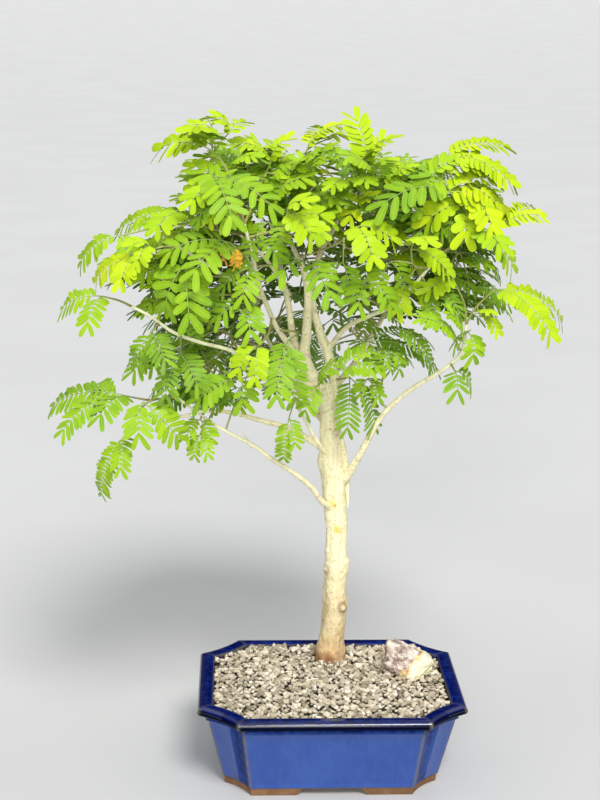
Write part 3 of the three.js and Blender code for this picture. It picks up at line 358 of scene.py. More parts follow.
def make_grain():
    """Fine relief: two sizes of noise added, turned into a bumped normal."""
    group, inside, outside = new_group(
        "grain",
        [("Place", "Vector", None), ("Scale", "Float", 400.0), ("Height", "Float", 0.2),
         ("Depth", "Float", 0.0005)],
        [("Normal", "Vector")],
    )
    coarse = add_node(group, "TexNoise", {
        "Vector": inside.outputs["Place"], "Scale": inside.outputs["Scale"], "Detail": 5.0,
    })
    finer = math_node(group, "MULTIPLY", inside.outputs["Scale"], 4.0)
    fine = add_node(group, "TexNoise", {
        "Vector": inside.outputs["Place"], "Scale": finer, "Detail": 2.0,
    })
    height = math_node(group, "MULTIPLY_ADD", fine.outputs[0], 0.35, coarse.outputs[0])
    bump = add_node(group, "Bump", {
        "Strength": inside.outputs["Height"], "Distance": inside.outputs["Depth"], "Height": height,
    })
    group.links.new(bump.outputs[0], outside.inputs["Normal"])
    return group


MOTTLING = make_mottling()
GRAIN = make_grain()


def new_finish(name, roughness, **fixed):
    """A material with its Principled shader, its object coordinates and its paint."""
    material = bpy.data.materials.new(name)
    material.use_nodes = True
    tree = material.node_tree
    shader = tree.nodes["Principled BSDF"]
    shader.inputs["Roughness"].default_value = roughness
    for title, value in fixed.items():
        shader.inputs[title.replace("_", " ")].default_value = value
    place = add_node(tree, "TexCoord").outputs["Object"]
    paint = add_node(tree, "Attribute", attribute_name="paint")
    return material, tree, shader, place, paint


def mottled(tree, place, scale, low=0.35, high=0.65):
    """A mask of soft patches."""
    inputs = {"Place": place, "Scale": scale, "Low": low, "High": high}
    return add_node(tree, "Group", inputs, node_tree=MOTTLING).outputs[0]


def grained(tree, place, scale, height, depth):
    """A normal with fine relief."""
    inputs = {"Place": place, "Scale": scale, "Height": height, "Depth": depth}
    return add_node(tree, "Group", inputs, node_tree=GRAIN).outputs[0]


def finished(material, colour, place, scale, height, depth):
    """Links a finish's colour, and fine relief of a scale, height and depth."""
    tree = material.node_tree
    set_inputs(tree, tree.nodes["Principled BSDF"], {
        "Base Color": colour, "Normal": grained(tree, place, scale, height, depth),
    })
    return material


def stretched(tree, place, scale):
    """Coordinates that are scaled differently along each axis."""
    return add_node(tree, "Mapping", {"Vector": place, "Scale": scale}).outputs[0]


def channels(tree, paint):
    """The four numbers of the paint."""
    split = add_node(tree, "SeparateColor", {"Color": paint.outputs["Color"]})
    return split.outputs[0], split.outputs[1], split.outputs[2], paint.outputs["Alpha"]


# %% [markdown]
# ## The glazed pot
# The real pot is stoneware: pressed walls that flare upwards, a thick rolled lip, hollow cut
# corners, and a framed panel on each side. The glaze is a deep cobalt that runs thin on sharp
# edges, where the brown clay shows through. On the lip and the rim it is painted nearly black,
# partly for thick glaze and partly as a painted dark reflection, with painted shade in the cove
# under the lip; dark stripes and low patches on the corners are painted reflections. The lip and
# half of each corner mirror little, except along the lip's rounded edge. The wall is one outline
# of four sides and four hollow corners, carried up a profile, outside, over the lip and down
# inside.

# %% Name the pot's sizes
FOOT_HEIGHT = 6.0
RIM_CUT = np.array([30.0, 29.5])
BODY_CUT = np.array([26.5, 27.0])
BASE_CUT = np.array([20.5, 24.0])
BASE_INSET = np.array([19.0, 26.0])
CORNER_HOLLOW = 2.4
LIP_BOTTOM = POT_HEIGHT - 7.5
LIP_OVERHANG = 7.0
RIM_WIDTH = 11.5
CUT_SHRINK = 0.4
WALL = 6.0
FLOOR_TOP = 12.0
SOIL_TOP = 61.0
CORNER_STEPS = 14
EDGE_STEPS = [0.3, 0.8, 1.6, 2.4, 3.2, 4.0, 5.0]
SIDE_STEPS = 30
PANEL_DEPTH = 0.8
PANEL_BORDER = 2.6
PANEL_TOP = 57.5
PANEL_SLOPE = 1.2
EDGE_WEAR = 1.5
# First and last row of the profile on the lip's rounded edge, which mirrors the light.
LIP_GLEAM = (55, 63)
# Rows at the end of the profile that lie on the inner side of the rim.
INNER_ROWS = 8


def body_frame(z, depth=0.0):
    """Insets and corner cuts of the flared body at heights z, `depth` inside its face."""
    rise = ((np.asarray(z, float) - FOOT_HEIGHT) / (LIP_BOTTOM - FOOT_HEIGHT))[:, None]
    inset = BASE_INSET + (LIP_OVERHANG - BASE_INSET) * rise + depth
    return inset, BASE_CUT + (BODY_CUT - BASE_CUT) * rise - CUT_SHRINK * depth


def rim_frame(inset):
    """The same for the lip, which follows the pot's largest outline."""
    inset = np.repeat(np.asarray(inset, float)[:, None], 2, 1)
    return inset, RIM_CUT - CUT_SHRINK * inset


def inner_frame(z):
    """The same for the inner wall, which flares straight from the floor to the rim."""
    rise = ((np.asarray(z, float) - FLOOR_TOP) / (POT_HEIGHT - FLOOR_TOP))[:, None]
    low, high = BASE_INSET + WALL, np.array([RIM_WIDTH, RIM_WIDTH])
    return low + (high - low) * rise, BASE_CUT + (RIM_CUT - CUT_SHRINK * RIM_WIDTH - BASE_CUT) * rise


def corner_arcs(half, cut):
    """Start, end and points of the hollow corner of each outline, from half sizes and cuts."""
    start = np.stack([half[:, 0], half[:, 1] - cut[:, 1]], -1)[:, None]
    end = np.stack([half[:, 0] - cut[:, 0], half[:, 1]], -1)[:, None]
    control = (start + end) / 2 + 2 * CORNER_HOLLOW * unit(-cut[:, ::-1])[:, None]
    return start, end, bezier(start, control, end, np.linspace(0, 1, CORNER_STEPS))


def pot_outline(inset, cut):
    """Outlines, one row for each inset and cut: four straight sides, and four corners that are
    arcs bent inwards. Also the distance of each point from the nearest ridge, its side, which
    is -1 on a corner, and how far round its corner it is, from the short side to the long one."""
    half = np.array([POT_LENGTH, POT_WIDTH]) / 2 - inset
    arc_share = np.linspace(0, 1, CORNER_STEPS)
    start, end, arc = corner_arcs(half, cut)
    arc_gap = np.minimum(arc_share, 1 - arc_share) * np.linalg.norm(end - start, axis=-1)
    rows, gaps, sides, shares = [], [], [], []
    for quarter in range(4):
        sign = np.array([[1, 1], [-1, 1], [-1, -1], [1, -1]][quarter])
        turned = quarter % 2 == 1
        here = (arc[:, ::-1] if turned else arc) * sign
        along = 2 * (half - cut)[:, quarter % 2, None]
        direction = np.array([[-1, 0], [0, -1], [1, 0], [0, 1]][quarter])
        near = np.array(EDGE_STEPS)
        edge_share = EDGE_STEPS[-1] / along.min()
        middle = np.linspace(edge_share, 1 - edge_share, SIDE_STEPS)[1:-1]
        away = np.hstack([np.tile(near, (len(along), 1)), middle * along, along - near[::-1]])
        side = here[:, -1:] + away[..., None] * direction
        rows += [here, side]
        gaps += [np.broadcast_to(arc_gap, here.shape[:2]), np.minimum(away, along - away)]
        sides += [np.full(here.shape[1], -1), np.full(side.shape[1], quarter)]
        shares += [arc_share[::-1] if turned else arc_share, np.zeros(side.shape[1])]
    return np.concatenate(rows, 1), np.concatenate(gaps, 1), np.concatenate(sides), np.concatenate(shares)


# %% Work out the pot's profile and wall
LIP_RADIUS = 3.75
LIP_MIDDLE = 67.0
# Height and inset of the cove with the bead under the lip, and of the rim's flat top.
COVE = [
    [57.8, 8.4], [58.6, 7.5], [59.0, 6.6], [59.6, 6.2], [60.3, 6.2], [60.9, 6.6], [61.4, 6.9],
    [62.2, 6.6], [63.0, 5.6],
]
RIM_TOP = [
    [70.7, 3.0], [70.95, 4.2], [71.0, 5.6], [70.9, 7.6], [70.7, 9.4], [70.3, 10.6], [69.6, 11.3],
    [68.6, 11.7],
]


def pot_profile():
    """Heights, insets, cuts, darkness and wear of each outline: up the wall, round the bead and
    the lip, and down inside. The darkness on the lip and the rim is partly thick glaze and partly
    painted: painted shade in the cove under the lip, and a painted dark reflection on the bead and
    the rim. The wear on the lip's top outer edge is partly thin glaze and partly a painted highlight."""
    wall_z = np.concatenate([FOOT_HEIGHT + np.array([0, 0.4, 1]), np.linspace(8.0, 57.0, 34)])
    wall_inset, wall_cut = body_frame(wall_z)
    wall_inset = wall_inset + np.where(wall_z < FOOT_HEIGHT + 0.9, 0.5, 0.0)[:, None]
    angle = np.radians(np.linspace(-95, 60, 15))
    roll = np.stack([LIP_MIDDLE + LIP_RADIUS * np.sin(angle), LIP_RADIUS - LIP_RADIUS * np.cos(angle)], -1)
    lip = np.vstack([COVE, roll, RIM_TOP])
    lip_inset, lip_cut = rim_frame(lip[:, 1])
    inside_z = np.linspace(67.0, 58.0, 6)
    inside_inset, inside_cut = inner_frame(inside_z)
    heights = np.concatenate([wall_z, lip[:, 0], inside_z])
    # Darkness by height: painted shade in the cove under the lip, and on the bead and the rim thick glaze
    # with a painted dark reflection.
    lip_thick_and_painted_dark = np.interp(lip[:, 0], [60, 62, 64, 65, 68.5, 70.2], [0.2, 0.7, 0.85, 1.0, 0.98, 0.78])
    dark = np.concatenate([0 * wall_z, lip_thick_and_painted_dark, 0 * inside_z + 0.9])
    lip_wear_and_highlight = np.zeros(len(lip))
    lip_wear_and_highlight[len(COVE):len(COVE) + 3] = [0.35, 0.6, 0.25]
    # On the lip's top outer edge the wear is partly thin glaze and partly a painted highlight.
    lip_wear_and_highlight[-10:-7] = [0.08, 0.16, 0.08]
    lip_wear_and_highlight[-3:] = [0.1, 0.5, 0.25]
    wear_and_highlight = np.concatenate([0 * wall_z, lip_wear_and_highlight, 0 * inside_z])
    return (heights, np.vstack([wall_inset, lip_inset, inside_inset]),
            np.vstack([wall_cut, lip_cut, inside_cut]), dark, wear_and_highlight)


def add_pot_wall(shape):
    """The wall: every outline of the profile, with the side panels pressed in by a smooth step.
    Paint: wear on ridges, partly a painted highlight on the lip's top edge; darkness of the glaze,
    with painted dark reflections on the corners and painted shade under the lip; clay below the glaze line.
    Faces on the lip and on half of each corner take the second finish, the thick glaze."""
    heights, inset, cut, dark, lip_wear_and_highlight = pot_profile()
    outline, gap, side, share = pot_outline(inset, cut)
    z = np.broadcast_to(heights[:, None], gap.shape)
    inside = np.arange(len(heights)) >= len(heights) - INNER_ROWS
    frame_gap = np.minimum(gap, np.minimum(z - FOOT_HEIGHT, PANEL_TOP - z)) - PANEL_BORDER
    on_side = side >= 0
    press = PANEL_DEPTH * smooth_step(frame_gap / PANEL_SLOPE) * on_side
    outward = np.array([[0, 1], [-1, 0], [0, -1], [1, 0], [0, 0]])[side]
    points = np.concatenate([outline - press[..., None] * outward, z[..., None]], -1)
    wear_and_highlight = np.exp(-(gap / EDGE_WEAR)**2) * ~inside[:, None] * np.where(z > 70, 0.3, 1.0)
    wear_and_highlight = np.maximum(wear_and_highlight, lip_wear_and_highlight[:, None] * (1 + 0.8 * ~on_side))
    wear_and_highlight = np.maximum(wear_and_highlight, 0.8 * np.exp(-((z - FOOT_HEIGHT) / 0.8)**2))
    # Painted reflections on the corner faces: a dark stripe towards the long side, and a dark patch low down
    # (low); shade adds them to the glaze's darkness.
    painted_reflection_stripe = smooth_step((share - 0.52) / 0.2) * smooth_step((1.0 - share) / 0.05) * ~on_side
    low = smooth_step((FOOT_HEIGHT + 12 - z) / 10) * smooth_step((share - 0.3) / 0.2) * ~on_side
    shade = np.maximum(dark[:, None], np.maximum(0.4 * painted_reflection_stripe, 0.35 * low) * (z > FOOT_HEIGHT + 1))
    clay = (z < FOOT_HEIGHT + 0.3) * 1.0
    row = np.arange(len(heights) - 1)[:, None]
    gleams = (row >= LIP_GLEAM[0]) & (row <= LIP_GLEAM[1])
    is_thick = (heights[:-1, None] > COVE[0][0] - 0.5) & ~gleams
    is_thick = is_thick | (~on_side & (share > 0.5))
    paint = np.stack([wear_and_highlight, shade, clay, 0 * clay], -1).reshape(-1, 4)
    shape.add(points, [grid_faces(*gap.shape, wrap=True)], paint, finish=is_thick.ravel() * 1)


# %% [markdown]
# The pot stands on four feet that follow its corners, with an arch between them, and has two
# holes in its floor. A foot is a bent bar: the outline's stretch round one corner, carried
# through six points of a section. The floor is two rings of quads, one round each hole, that
# reach out to the outline.

# %% Feet and floor
FOOT_SECTION = [[6.6, 0.8], [4.6, 0.9], [0.9, 1.3], [0.0, 2.2], [0.0, 8.0], [0.9, 9.0], [6.6, 9.0]]
FOOT_INNER_END = [21.5, 17.0]
ARCH_SLOPE = 6.0
DRAIN_RADIUS = 9.0
DRAIN_OFFSET = 45.0
BARE_CLAY = (0, 0, 1, 0)
FLOOR_RAYS = 96
FLOOR_RINGS = 6


def add_feet(shape):
    """Four bars, each the corner's arc with a straight stretch at both ends, by the section."""
    section = np.array(FOOT_SECTION)
    inset, cut = body_frame(np.full(len(section), FOOT_HEIGHT), section[:, 1:])
    half = np.array([POT_LENGTH, POT_WIDTH]) / 2 - inset
    lean = ARCH_SLOPE * (1 - section[:, 0] / FOOT_HEIGHT)
    start, end, arc = corner_arcs(half, cut)
    first = np.stack([half[:, 0], FOOT_INNER_END[1] + lean], -1)[:, None]
    last = np.stack([FOOT_INNER_END[0] + lean, half[:, 1]], -1)[:, None]
    straight = np.linspace(0, 1, 6)[:-1, None]
    path = np.concatenate([first + (start - first) * straight, arc, last + (end - last) * straight[::-1]], 1)
    bar = np.concatenate([path, np.broadcast_to(section[:, None, :1], (*path.shape[:2], 1))], -1)
    ring = np.arange(1, len(section) - 1)
    steps = path.shape[1]
    walls = grid_faces(steps, len(section), wrap=True)
    caps = np.stack([np.zeros_like(ring), ring + 1, ring], -1)
    far = np.stack([np.zeros_like(ring), ring, ring + 1], -1) + (steps - 1) * len(section)
    for sign_x, sign_y in ((1, 1), (-1, 1), (-1, -1), (1, -1)):
        points = bar.transpose(1, 0, 2) * [sign_x, sign_y, 1]
        faces = [walls, np.vstack([caps, far])]
        if sign_x * sign_y > 0:
            faces = [group[:, ::-1] for group in faces]
        shape.add(points, faces, BARE_CLAY)


def add_floor(shape):
    """Underside: round each drain hole, rays run from the hole's edge to half of the outline.
    The hole's own wall goes up to the inner floor."""
    outline = pot_outline(*body_frame(np.array([FOOT_HEIGHT]), 0.5))[0][0]
    edge = np.roll(outline, -1, 0) - outline
    angle = round_angles(FLOOR_RAYS)
    ray = np.stack([np.cos(angle), np.sin(angle)], -1)
    cross = ray[:, None, 0] * edge[:, 1] - ray[:, None, 1] * edge[:, 0]
    cross = np.where(cross == 0, 1e-9, cross)
    for side in (-1, 1):
        centre = np.array([side * DRAIN_OFFSET, 0.0])
        offset = outline - centre
        reach = (offset[:, 0] * edge[:, 1] - offset[:, 1] * edge[:, 0]) / cross
        share = (offset[:, 0] * ray[:, None, 1] - offset[:, 1] * ray[:, None, 0]) / cross
        reach = np.where((share >= 0) & (share <= 1) & (reach > 0), reach, np.inf).min(1)
        inwards = -side * ray[:, 0]
        half_way = DRAIN_OFFSET / np.maximum(inwards, 1e-6)
        reach = np.where(inwards > 1e-6, np.minimum(reach, half_way), reach)
        radii = DRAIN_RADIUS + (reach - DRAIN_RADIUS) * np.linspace(0, 1, FLOOR_RINGS)[:, None]
        plate = np.concatenate([centre + radii[..., None] * ray, np.full((*radii.shape, 1), FOOT_HEIGHT)], -1)
        levels = np.array([FOOT_HEIGHT, FLOOR_TOP])[:, None, None]
        rim = np.broadcast_to(centre + DRAIN_RADIUS * ray, (2, FLOOR_RAYS, 2))
        wall = np.concatenate([rim, np.broadcast_to(levels, (2, FLOOR_RAYS, 1))], -1)
        for points in (plate, wall):
            faces = grid_faces(len(points), FLOOR_RAYS, wrap=True)[:, ::-1]
            shape.add(points, [faces], BARE_CLAY)


# %% Cobalt glaze over brown clay
GLAZE_ROUGHNESS = 0.06


def make_glaze(name, sheen):
    """Cobalt, a lighter blue on the panels, with faint runs down the wall. The darkness paint turns
    it deep navy, and near black past 0.8: partly thick glaze, partly painted dark reflection and
    painted shade. It is olive-grey where it is thin, which on the lip's top edge is also a painted
    highlight, and bare clay under the glaze line. Thick glaze mirrors less, so it has a lower `sheen`."""
    material, tree, shader, place, paint = new_finish(name, GLAZE_ROUGHNESS, Specular_IOR_Level=sheen)
    wear_and_highlight, dark, clay, _ = channels(tree, paint)
    patches = mottled(tree, place, 30.0, 0.3, 0.75)
    runs = mottled(tree, stretched(tree, place, (240.0, 240.0, 16.0)), 1.0, 0.35, 0.75)
    light = mix(tree, patches, (0.021, 0.066, 0.30, 1), (0.029, 0.085, 0.35, 1))
    light = tinted(tree, light, runs, 0.3, (0.055, 0.12, 0.33, 1))
    deep = mix(tree, patches, (0.0006, 0.0045, 0.075, 1), (0.0015, 0.010, 0.145, 1))
    ragged = mottled(tree, place, 170.0, 0.3, 0.7)
    edge = math_node(tree, "MULTIPLY_ADD", ragged, 0.6, -0.3)
    middle = math_node(tree, "SUBTRACT", 1.0, math_node(tree, "ABSOLUTE", math_node(
        tree, "MULTIPLY_ADD", dark, 2.0, -1.0)))
    thick = math_node(tree, "MULTIPLY_ADD", edge, middle, dark)
    # Deep navy by the darkness, then near black past 0.8: thick glaze with painted dark reflections on the
    # lip, rim and corners, and painted shade under the lip.
    blue = tinted(tree, light, thick, 1.25, deep)
    blue = mix(tree, math_node(tree, "MULTIPLY_ADD", thick, 5.0, -4.0), blue, (0.0008, 0.0022, 0.012, 1))
    # Olive-grey where the glaze is thin; on the lip's top edge it is partly a painted highlight.
    worn_and_highlight = math_node(tree, "MULTIPLY", wear_and_highlight, math_node(tree, "MULTIPLY_ADD", ragged, 0.5, 0.5))
    colour = mix(tree, worn_and_highlight, blue, (0.15, 0.14, 0.095, 1))
    earth = mix(tree, mottled(tree, place, 90.0), (0.16, 0.078, 0.030, 1), (0.25, 0.122, 0.05, 1))
    rough = math_node(tree, "MULTIPLY_ADD", clay, 0.7, GLAZE_ROUGHNESS)
    set_inputs(tree, shader, {
        "Base Color": mix(tree, clay, colour, earth),
        "Roughness": math_node(tree, "MULTIPLY_ADD", worn_and_highlight, 0.10, rough),
        "Normal": grained(tree, place, 30.0, 0.10, 0.0006),
    })
    return material


# %% Make the pot
pot_shape = Shape()
add_pot_wall(pot_shape)
add_feet(pot_shape)
add_floor(pot_shape)
GLAZES = [make_glaze("cobalt glaze", 0.5), make_glaze("thick cobalt glaze", 0.02)]
pot = pot_shape.make("glazed_pot", GLAZES, "glaze", sharp=38)
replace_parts(pot, "pot")

# %% [markdown]
# ## Gravel and soil
# The pot is topped with sharp crushed stone, 3 to 6 mm across, in greys and creams. A grain is a
# cube whose corners and face middles are pulled in by random amounts, so that it has flat
# facets and ridges, as a chip has. All grains come from one array. A dark bed lies under them,
# because the gaps between real grains show only shade.

# %% Place the grains
GRAVEL_TOP = 68.0
GRAVEL_MOUND = 1.6
GRAVEL_TILT = 0.02
GRAIN_SPACING = 4.4
GRAIN_HALF = np.array([2.7, 2.05, 1.5])
TRUNK_FOOT = [3.0, 47.5, 12.5]
ROCK_CENTRE = np.array([64.5, 13.0, 77.0])
ROCK_SPAN = np.array([16.5, 9.5])
GRAIN_SEED = 11


def gravel_level(x, y):
    """Height of the gravel: a low mound, highest towards the back."""
    reach = (2 * x / POT_LENGTH)**2 + (2 * y / POT_WIDTH)**2
    return GRAVEL_TOP + GRAVEL_MOUND * (0.5 - reach) + GRAVEL_TILT * y


def inside_pot(x, y, z, room):
    """True where a point is at least `room` inside the inner wall at height z."""
    inset, cut = inner_frame(np.array([z]))
    half = np.array([POT_LENGTH, POT_WIDTH]) / 2 - inset[0]
    side_x, side_y = half[0] - np.abs(x), half[1] - np.abs(y)
    corner = (side_x / cut[0, 0] + side_y / cut[0, 1] - 1) * cut[0].min() / math.sqrt(2) - CORNER_HOLLOW
    return (side_x > room) & (side_y > room) & (corner > room)


def grain_places(random):
    """Staggered rows with jitter, kept off the wall, the trunk and the rock."""
    rows = np.arange(-POT_WIDTH / 2, POT_WIDTH / 2, GRAIN_SPACING * 0.87)
    columns = np.arange(-POT_LENGTH / 2, POT_LENGTH / 2, GRAIN_SPACING)
    x, y = np.meshgrid(columns, rows)
    x = x + (np.arange(len(rows)) % 2)[:, None] * GRAIN_SPACING / 2
    x = (x + random.uniform(-1, 1, x.shape)).ravel()
    y = (y + random.uniform(-1, 1, y.shape)).ravel()
    off_trunk = np.hypot(x - TRUNK_FOOT[0], y - TRUNK_FOOT[1]) > TRUNK_FOOT[2]
    off_rock = np.hypot(*((np.stack([x, y]) - ROCK_CENTRE[:2, None]) / ROCK_SPAN[:, None])) > 0.9
    keep = inside_pot(x, y, GRAVEL_TOP, 0.6) & off_trunk & off_rock
    return x[keep], y[keep]


def chip_corners():
    """A cube's eight corners and six face middles, and the 24 faces between them."""
    corner = np.array([[x, y, z] for x in (-1, 1) for y in (-1, 1) for z in (-1, 1)], float)
    middle = np.vstack([-np.eye(3), np.eye(3)])
    faces = []
    for index, axis in enumerate(middle):
        ring = [number for number in range(8) if corner[number] @ axis > 0.5]
        aside = np.cross(axis, [0.31, 0.52, 0.79])
        upward = np.cross(axis, aside)
        ring.sort(key=lambda number: math.atan2(corner[number] @ upward, corner[number] @ aside))
        faces += [[8 + index, ring[k], ring[(k + 1) % 4]] for k in range(4)]
    return np.vstack([corner * 0.72, middle]), np.array(faces)


def add_grains(shape, random):
    """Point = template corner x its own random shrink x the grain's three half sizes, tipped
    and turned. Most grains lie on their flat side."""
    x, y = grain_places(random)
    count = len(x)
    template, faces = chip_corners()
    shrink = random.uniform(0.62, 1.22, (count, len(template), 1))
    shrink[:, 8:] = random.uniform(0.70, 1.05, (count, 6, 1))
    size = GRAIN_HALF * random.uniform(0.7, 1.25, (count, 1, 3))
    size = size * random.choice([0.75, 1.0, 1.25], (count, 1, 1))
    points = template * shrink * size
    tip, turn = random.normal(0, 0.45, (2, count)), random.uniform(0, 2 * math.pi, count)
    for first, second, angle in ((1, 2, tip[0]), (0, 2, tip[1]), (0, 1, turn)):
        a, b = points[..., first].copy(), points[..., second].copy()
        cos, sin = np.cos(angle)[:, None], np.sin(angle)[:, None]
        points[..., first], points[..., second] = a * cos - b * sin, a * sin + b * cos
    z = gravel_level(x, y) + random.uniform(-1.0, 0.8, count)
    # Painted shade: each grain is darker towards its foot, where little light gets in.
    lit = smooth_step((points[..., 2] + 1.1) / 1.7)
    points = points + np.stack([x, y, z], -1)[:, None]
    tone, warmth = random.uniform(0, 1, (2, count, 1))
    paint = np.stack(np.broadcast_arrays(tone, warmth, lit, 1.0), -1)
    shift = np.arange(count)[:, None, None] * len(template)
    shape.add(points, [(faces + shift).reshape(-1, 3)], paint.reshape(-1, 4))
    return count


def add_bed(shape):
    """The bed under the grains: rings from the middle to the inner wall, then down to the soil."""
    inset, cut = inner_frame(np.array([GRAVEL_TOP - 1.5]))
    outline = pot_outline(inset + 0.4, cut)[0][0]
    share = np.linspace(0, 1, 25)[1:, None, None]
    flat = np.vstack([outline * share, outline[None]])
    z = gravel_level(flat[..., 0], flat[..., 1]) - 2.2
    z[-1] = SOIL_TOP + 0.5
    points = np.concatenate([flat, z[..., None]], -1)[::-1]
    shape.add(points, [grid_faces(*z.shape, wrap=True)])
    ring = np.arange(z.shape[1])
    last = points[-1]
    shape.add(np.vstack([last, [0, 0, last[:, 2].max()]]),
              [np.stack([ring, (ring + 1) % len(ring), np.full(len(ring), len(ring))], -1)])


# %% Crushed stone, its shaded bed and the soil
def make_stone():
    """Each grain has its own tone between grey-brown and cream, with fine dark specks, and painted
    shade that darkens its foot, where little light gets in."""
    material, tree, _, place, paint = new_finish("crushed stone", 0.85)
    tone, warmth, lit, _ = channels(tree, paint)
    colour = ramp(tree, tone, [
        (0.0, (0.20, 0.165, 0.11)), (0.25, (0.47, 0.41, 0.295)), (0.7, (0.69, 0.61, 0.47)),
        (1.0, (0.95, 0.88, 0.73)),
    ])
    specks = mottled(tree, place, 700.0, 0.55, 0.64)
    colour = tinted(tree, colour, warmth, 0.3, (0.60, 0.47, 0.30, 1))
    colour = tinted(tree, colour, specks, 0.3, (0.22, 0.19, 0.15, 1))
    # Painted shade: dark brown towards each grain's foot.
    colour = mix(tree, lit, (0.08, 0.064, 0.04, 1), colour)
    return finished(material, colour, place, 700.0, 0.3, 0.0003)


def make_earth(name, dark, light, scale):
    """Two dark browns in patches, with a crumbly surface."""
    material, tree, _, place, _ = new_finish(name, 0.95)
    colour = mix(tree, mottled(tree, place, scale), (*dark, 1), (*light, 1))
    return finished(material, colour, place, scale * 2, 0.8, 0.001)


# %% Make the gravel
grain_shape = Shape()
grain_count = add_grains(grain_shape, np.random.default_rng(GRAIN_SEED))
grain_shape.make("gravel_grains", [make_stone()], "gravel", smooth=False)
bed_shape = Shape()
add_bed(bed_shape)
shaded_grit = make_earth("shaded grit", (0.018, 0.014, 0.01), (0.07, 0.058, 0.042), 500.0)
bed = bed_shape.make("gravel_bed", [shaded_grit], "gravel")
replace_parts(bed, "gravel")
print("grains", grain_count)

# %% [markdown]
# ## The rock
# One angular stone stands beside the trunk. Its upper left part is a pinkish-grey crust with
# dark specks, and a cream layer with yellow edges slants across its lower right part. It is a
# ball cut by planes: along each direction the nearest plane gives the surface, and a soft least
# wears the edges down. The planes are chosen from the picture.

# %% Make the rock
ROCK_PLANES = np.array([
    [-1, -0.05, 0.03, 19.6], [-0.06, -0.05, 1, 19.2], [0.36, 0.1, 0.93, 14.0], [0.66, 0.1, 0.74, 15.2],
    [1, 0, -0.12, 18.6], [0.25, -1, 0.42, 12.0], [-0.5, -1, 0.25, 13.0], [0.75, -0.75, -0.35, 14.0],
    [0, 1, 0.1, 12.0], [0, 0, -1, 10.0], [-0.6, -0.5, -0.6, 13.5],
])
ROCK_BLEND = 1.2
ROCK_ROWS = 110
ROCK_COLUMNS = 160
GRAZING = 0.05
FAR_AWAY = 400.0
LAYER_SLOPE = np.array([0.742, -0.1, -0.67])
LAYER_START = 2.3


def rock_points(rows, columns):
    """Direction from two angles; radius = soft least of distance / cosine to the planes, plus
    lumps and pits that are sums of waves. Depth into the cream layer is the distance past a
    slanting plane; the layer stands proud of the crust, and has ledges along it."""
    polar = np.linspace(0.001, math.pi - 0.001, rows)[:, None]
    around = round_angles(columns)
    direction = np.stack([
        np.sin(polar) * np.cos(around), np.sin(polar) * np.sin(around), np.cos(polar) + 0 * around,
    ], -1)
    facing = direction @ unit(ROCK_PLANES[:, :3]).T
    reach = np.where(facing > GRAZING, ROCK_PLANES[:, 3] / np.maximum(facing, GRAZING), FAR_AWAY)
    radius = -np.log(np.exp(-reach / ROCK_BLEND).sum(-1)) * ROCK_BLEND
    at = direction * radius[..., None]
    depth = at @ LAYER_SLOPE + LAYER_START + 0.8 * ripples(at, 7.0, 10, 6)
    cream = smooth_step(depth / 0.9)
    lumps = 0.55 * ripples(at, 9.0, 14, 1) + 0.34 * ripples(at, 3.5, 20, 2) + 0.24 * ripples(at, 1.5, 26, 3)
    ledges = 0.35 * np.sin(depth * 1.5 + 0.8 * ripples(at, 8.0, 8, 4))
    radius = radius + lumps * (1.2 - 0.65 * cream) + (ledges + 0.7) * cream - 1.1
    return direction * radius[..., None] + ROCK_CENTRE, depth


def make_rock_finish():
    """Pinkish-grey crust with dark specks; past the edge of the layer a yellow line, cream
    stone, rust spots and a patch of pale yellow."""
    material, tree, _, place, paint = new_finish("banded rock", 0.8)
    depth = channels(tree, paint)[0]
    crust = ramp(tree, mottled(tree, place, 210.0, 0.3, 0.7), [
        (0.0, (0.26, 0.19, 0.16)), (0.3, (0.52, 0.40, 0.34)), (0.65, (0.72, 0.60, 0.50)),
        (1.0, (0.88, 0.80, 0.72)),
    ])
    specks = mottled(tree, place, 800.0, 0.56, 0.66)
    crust = tinted(tree, crust, specks, 0.55, (0.16, 0.11, 0.12, 1))
    wander = math_node(tree, "MULTIPLY_ADD", mottled(tree, place, 120.0, 0.2, 0.8), 0.14, -0.07)
    banded = ramp(tree, math_node(tree, "ADD", depth, wander), [
        (0.50, (0.62, 0.40, 0.16)), (0.53, (0.86, 0.70, 0.33)), (0.60, (0.88, 0.76, 0.50)),
        (0.64, (0.92, 0.88, 0.74)), (0.72, (0.80, 0.64, 0.42)), (0.76, (0.94, 0.90, 0.74)),
        (0.84, (0.93, 0.86, 0.52)), (0.95, (0.94, 0.88, 0.56)),
    ])
    rust = mottled(tree, place, 170.0, 0.62, 0.72)
    banded = tinted(tree, banded, rust, 0.6, (0.55, 0.30, 0.16, 1))
    part = math_node(tree, "GREATER_THAN", depth, 0.5)
    return finished(material, mix(tree, part, crust, banded), place, 500.0, 0.6, 0.0006)


def make_rock():
    """A grid ball with a point at each pole."""
    rows, columns = ROCK_ROWS, ROCK_COLUMNS
    points, depth = rock_points(rows, columns)
    shape = Shape()
    poles = np.stack([points[0].mean(0), points[-1].mean(0)])
    paint = np.zeros((rows * columns + 2, 4))
    paint[:-2, 0] = np.clip(0.5 + depth / 40, 0, 1).ravel()
    side = np.arange(columns)
    top = np.stack([np.full(columns, rows * columns), side, (side + 1) % columns], -1)
    low = np.stack([np.full(columns, rows * columns + 1), (side + 1) % columns, side], -1)
    low[:, 1:] += (rows - 1) * columns
    faces = [grid_faces(rows, columns, wrap=True)[:, ::-1], np.vstack([top, low])]
    shape.add(np.vstack([points.reshape(-1, 3), poles]), faces, paint)
    return shape.make("banded_rock", [make_rock_finish()], "rock", sharp=60)


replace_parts(make_rock(), "rock")

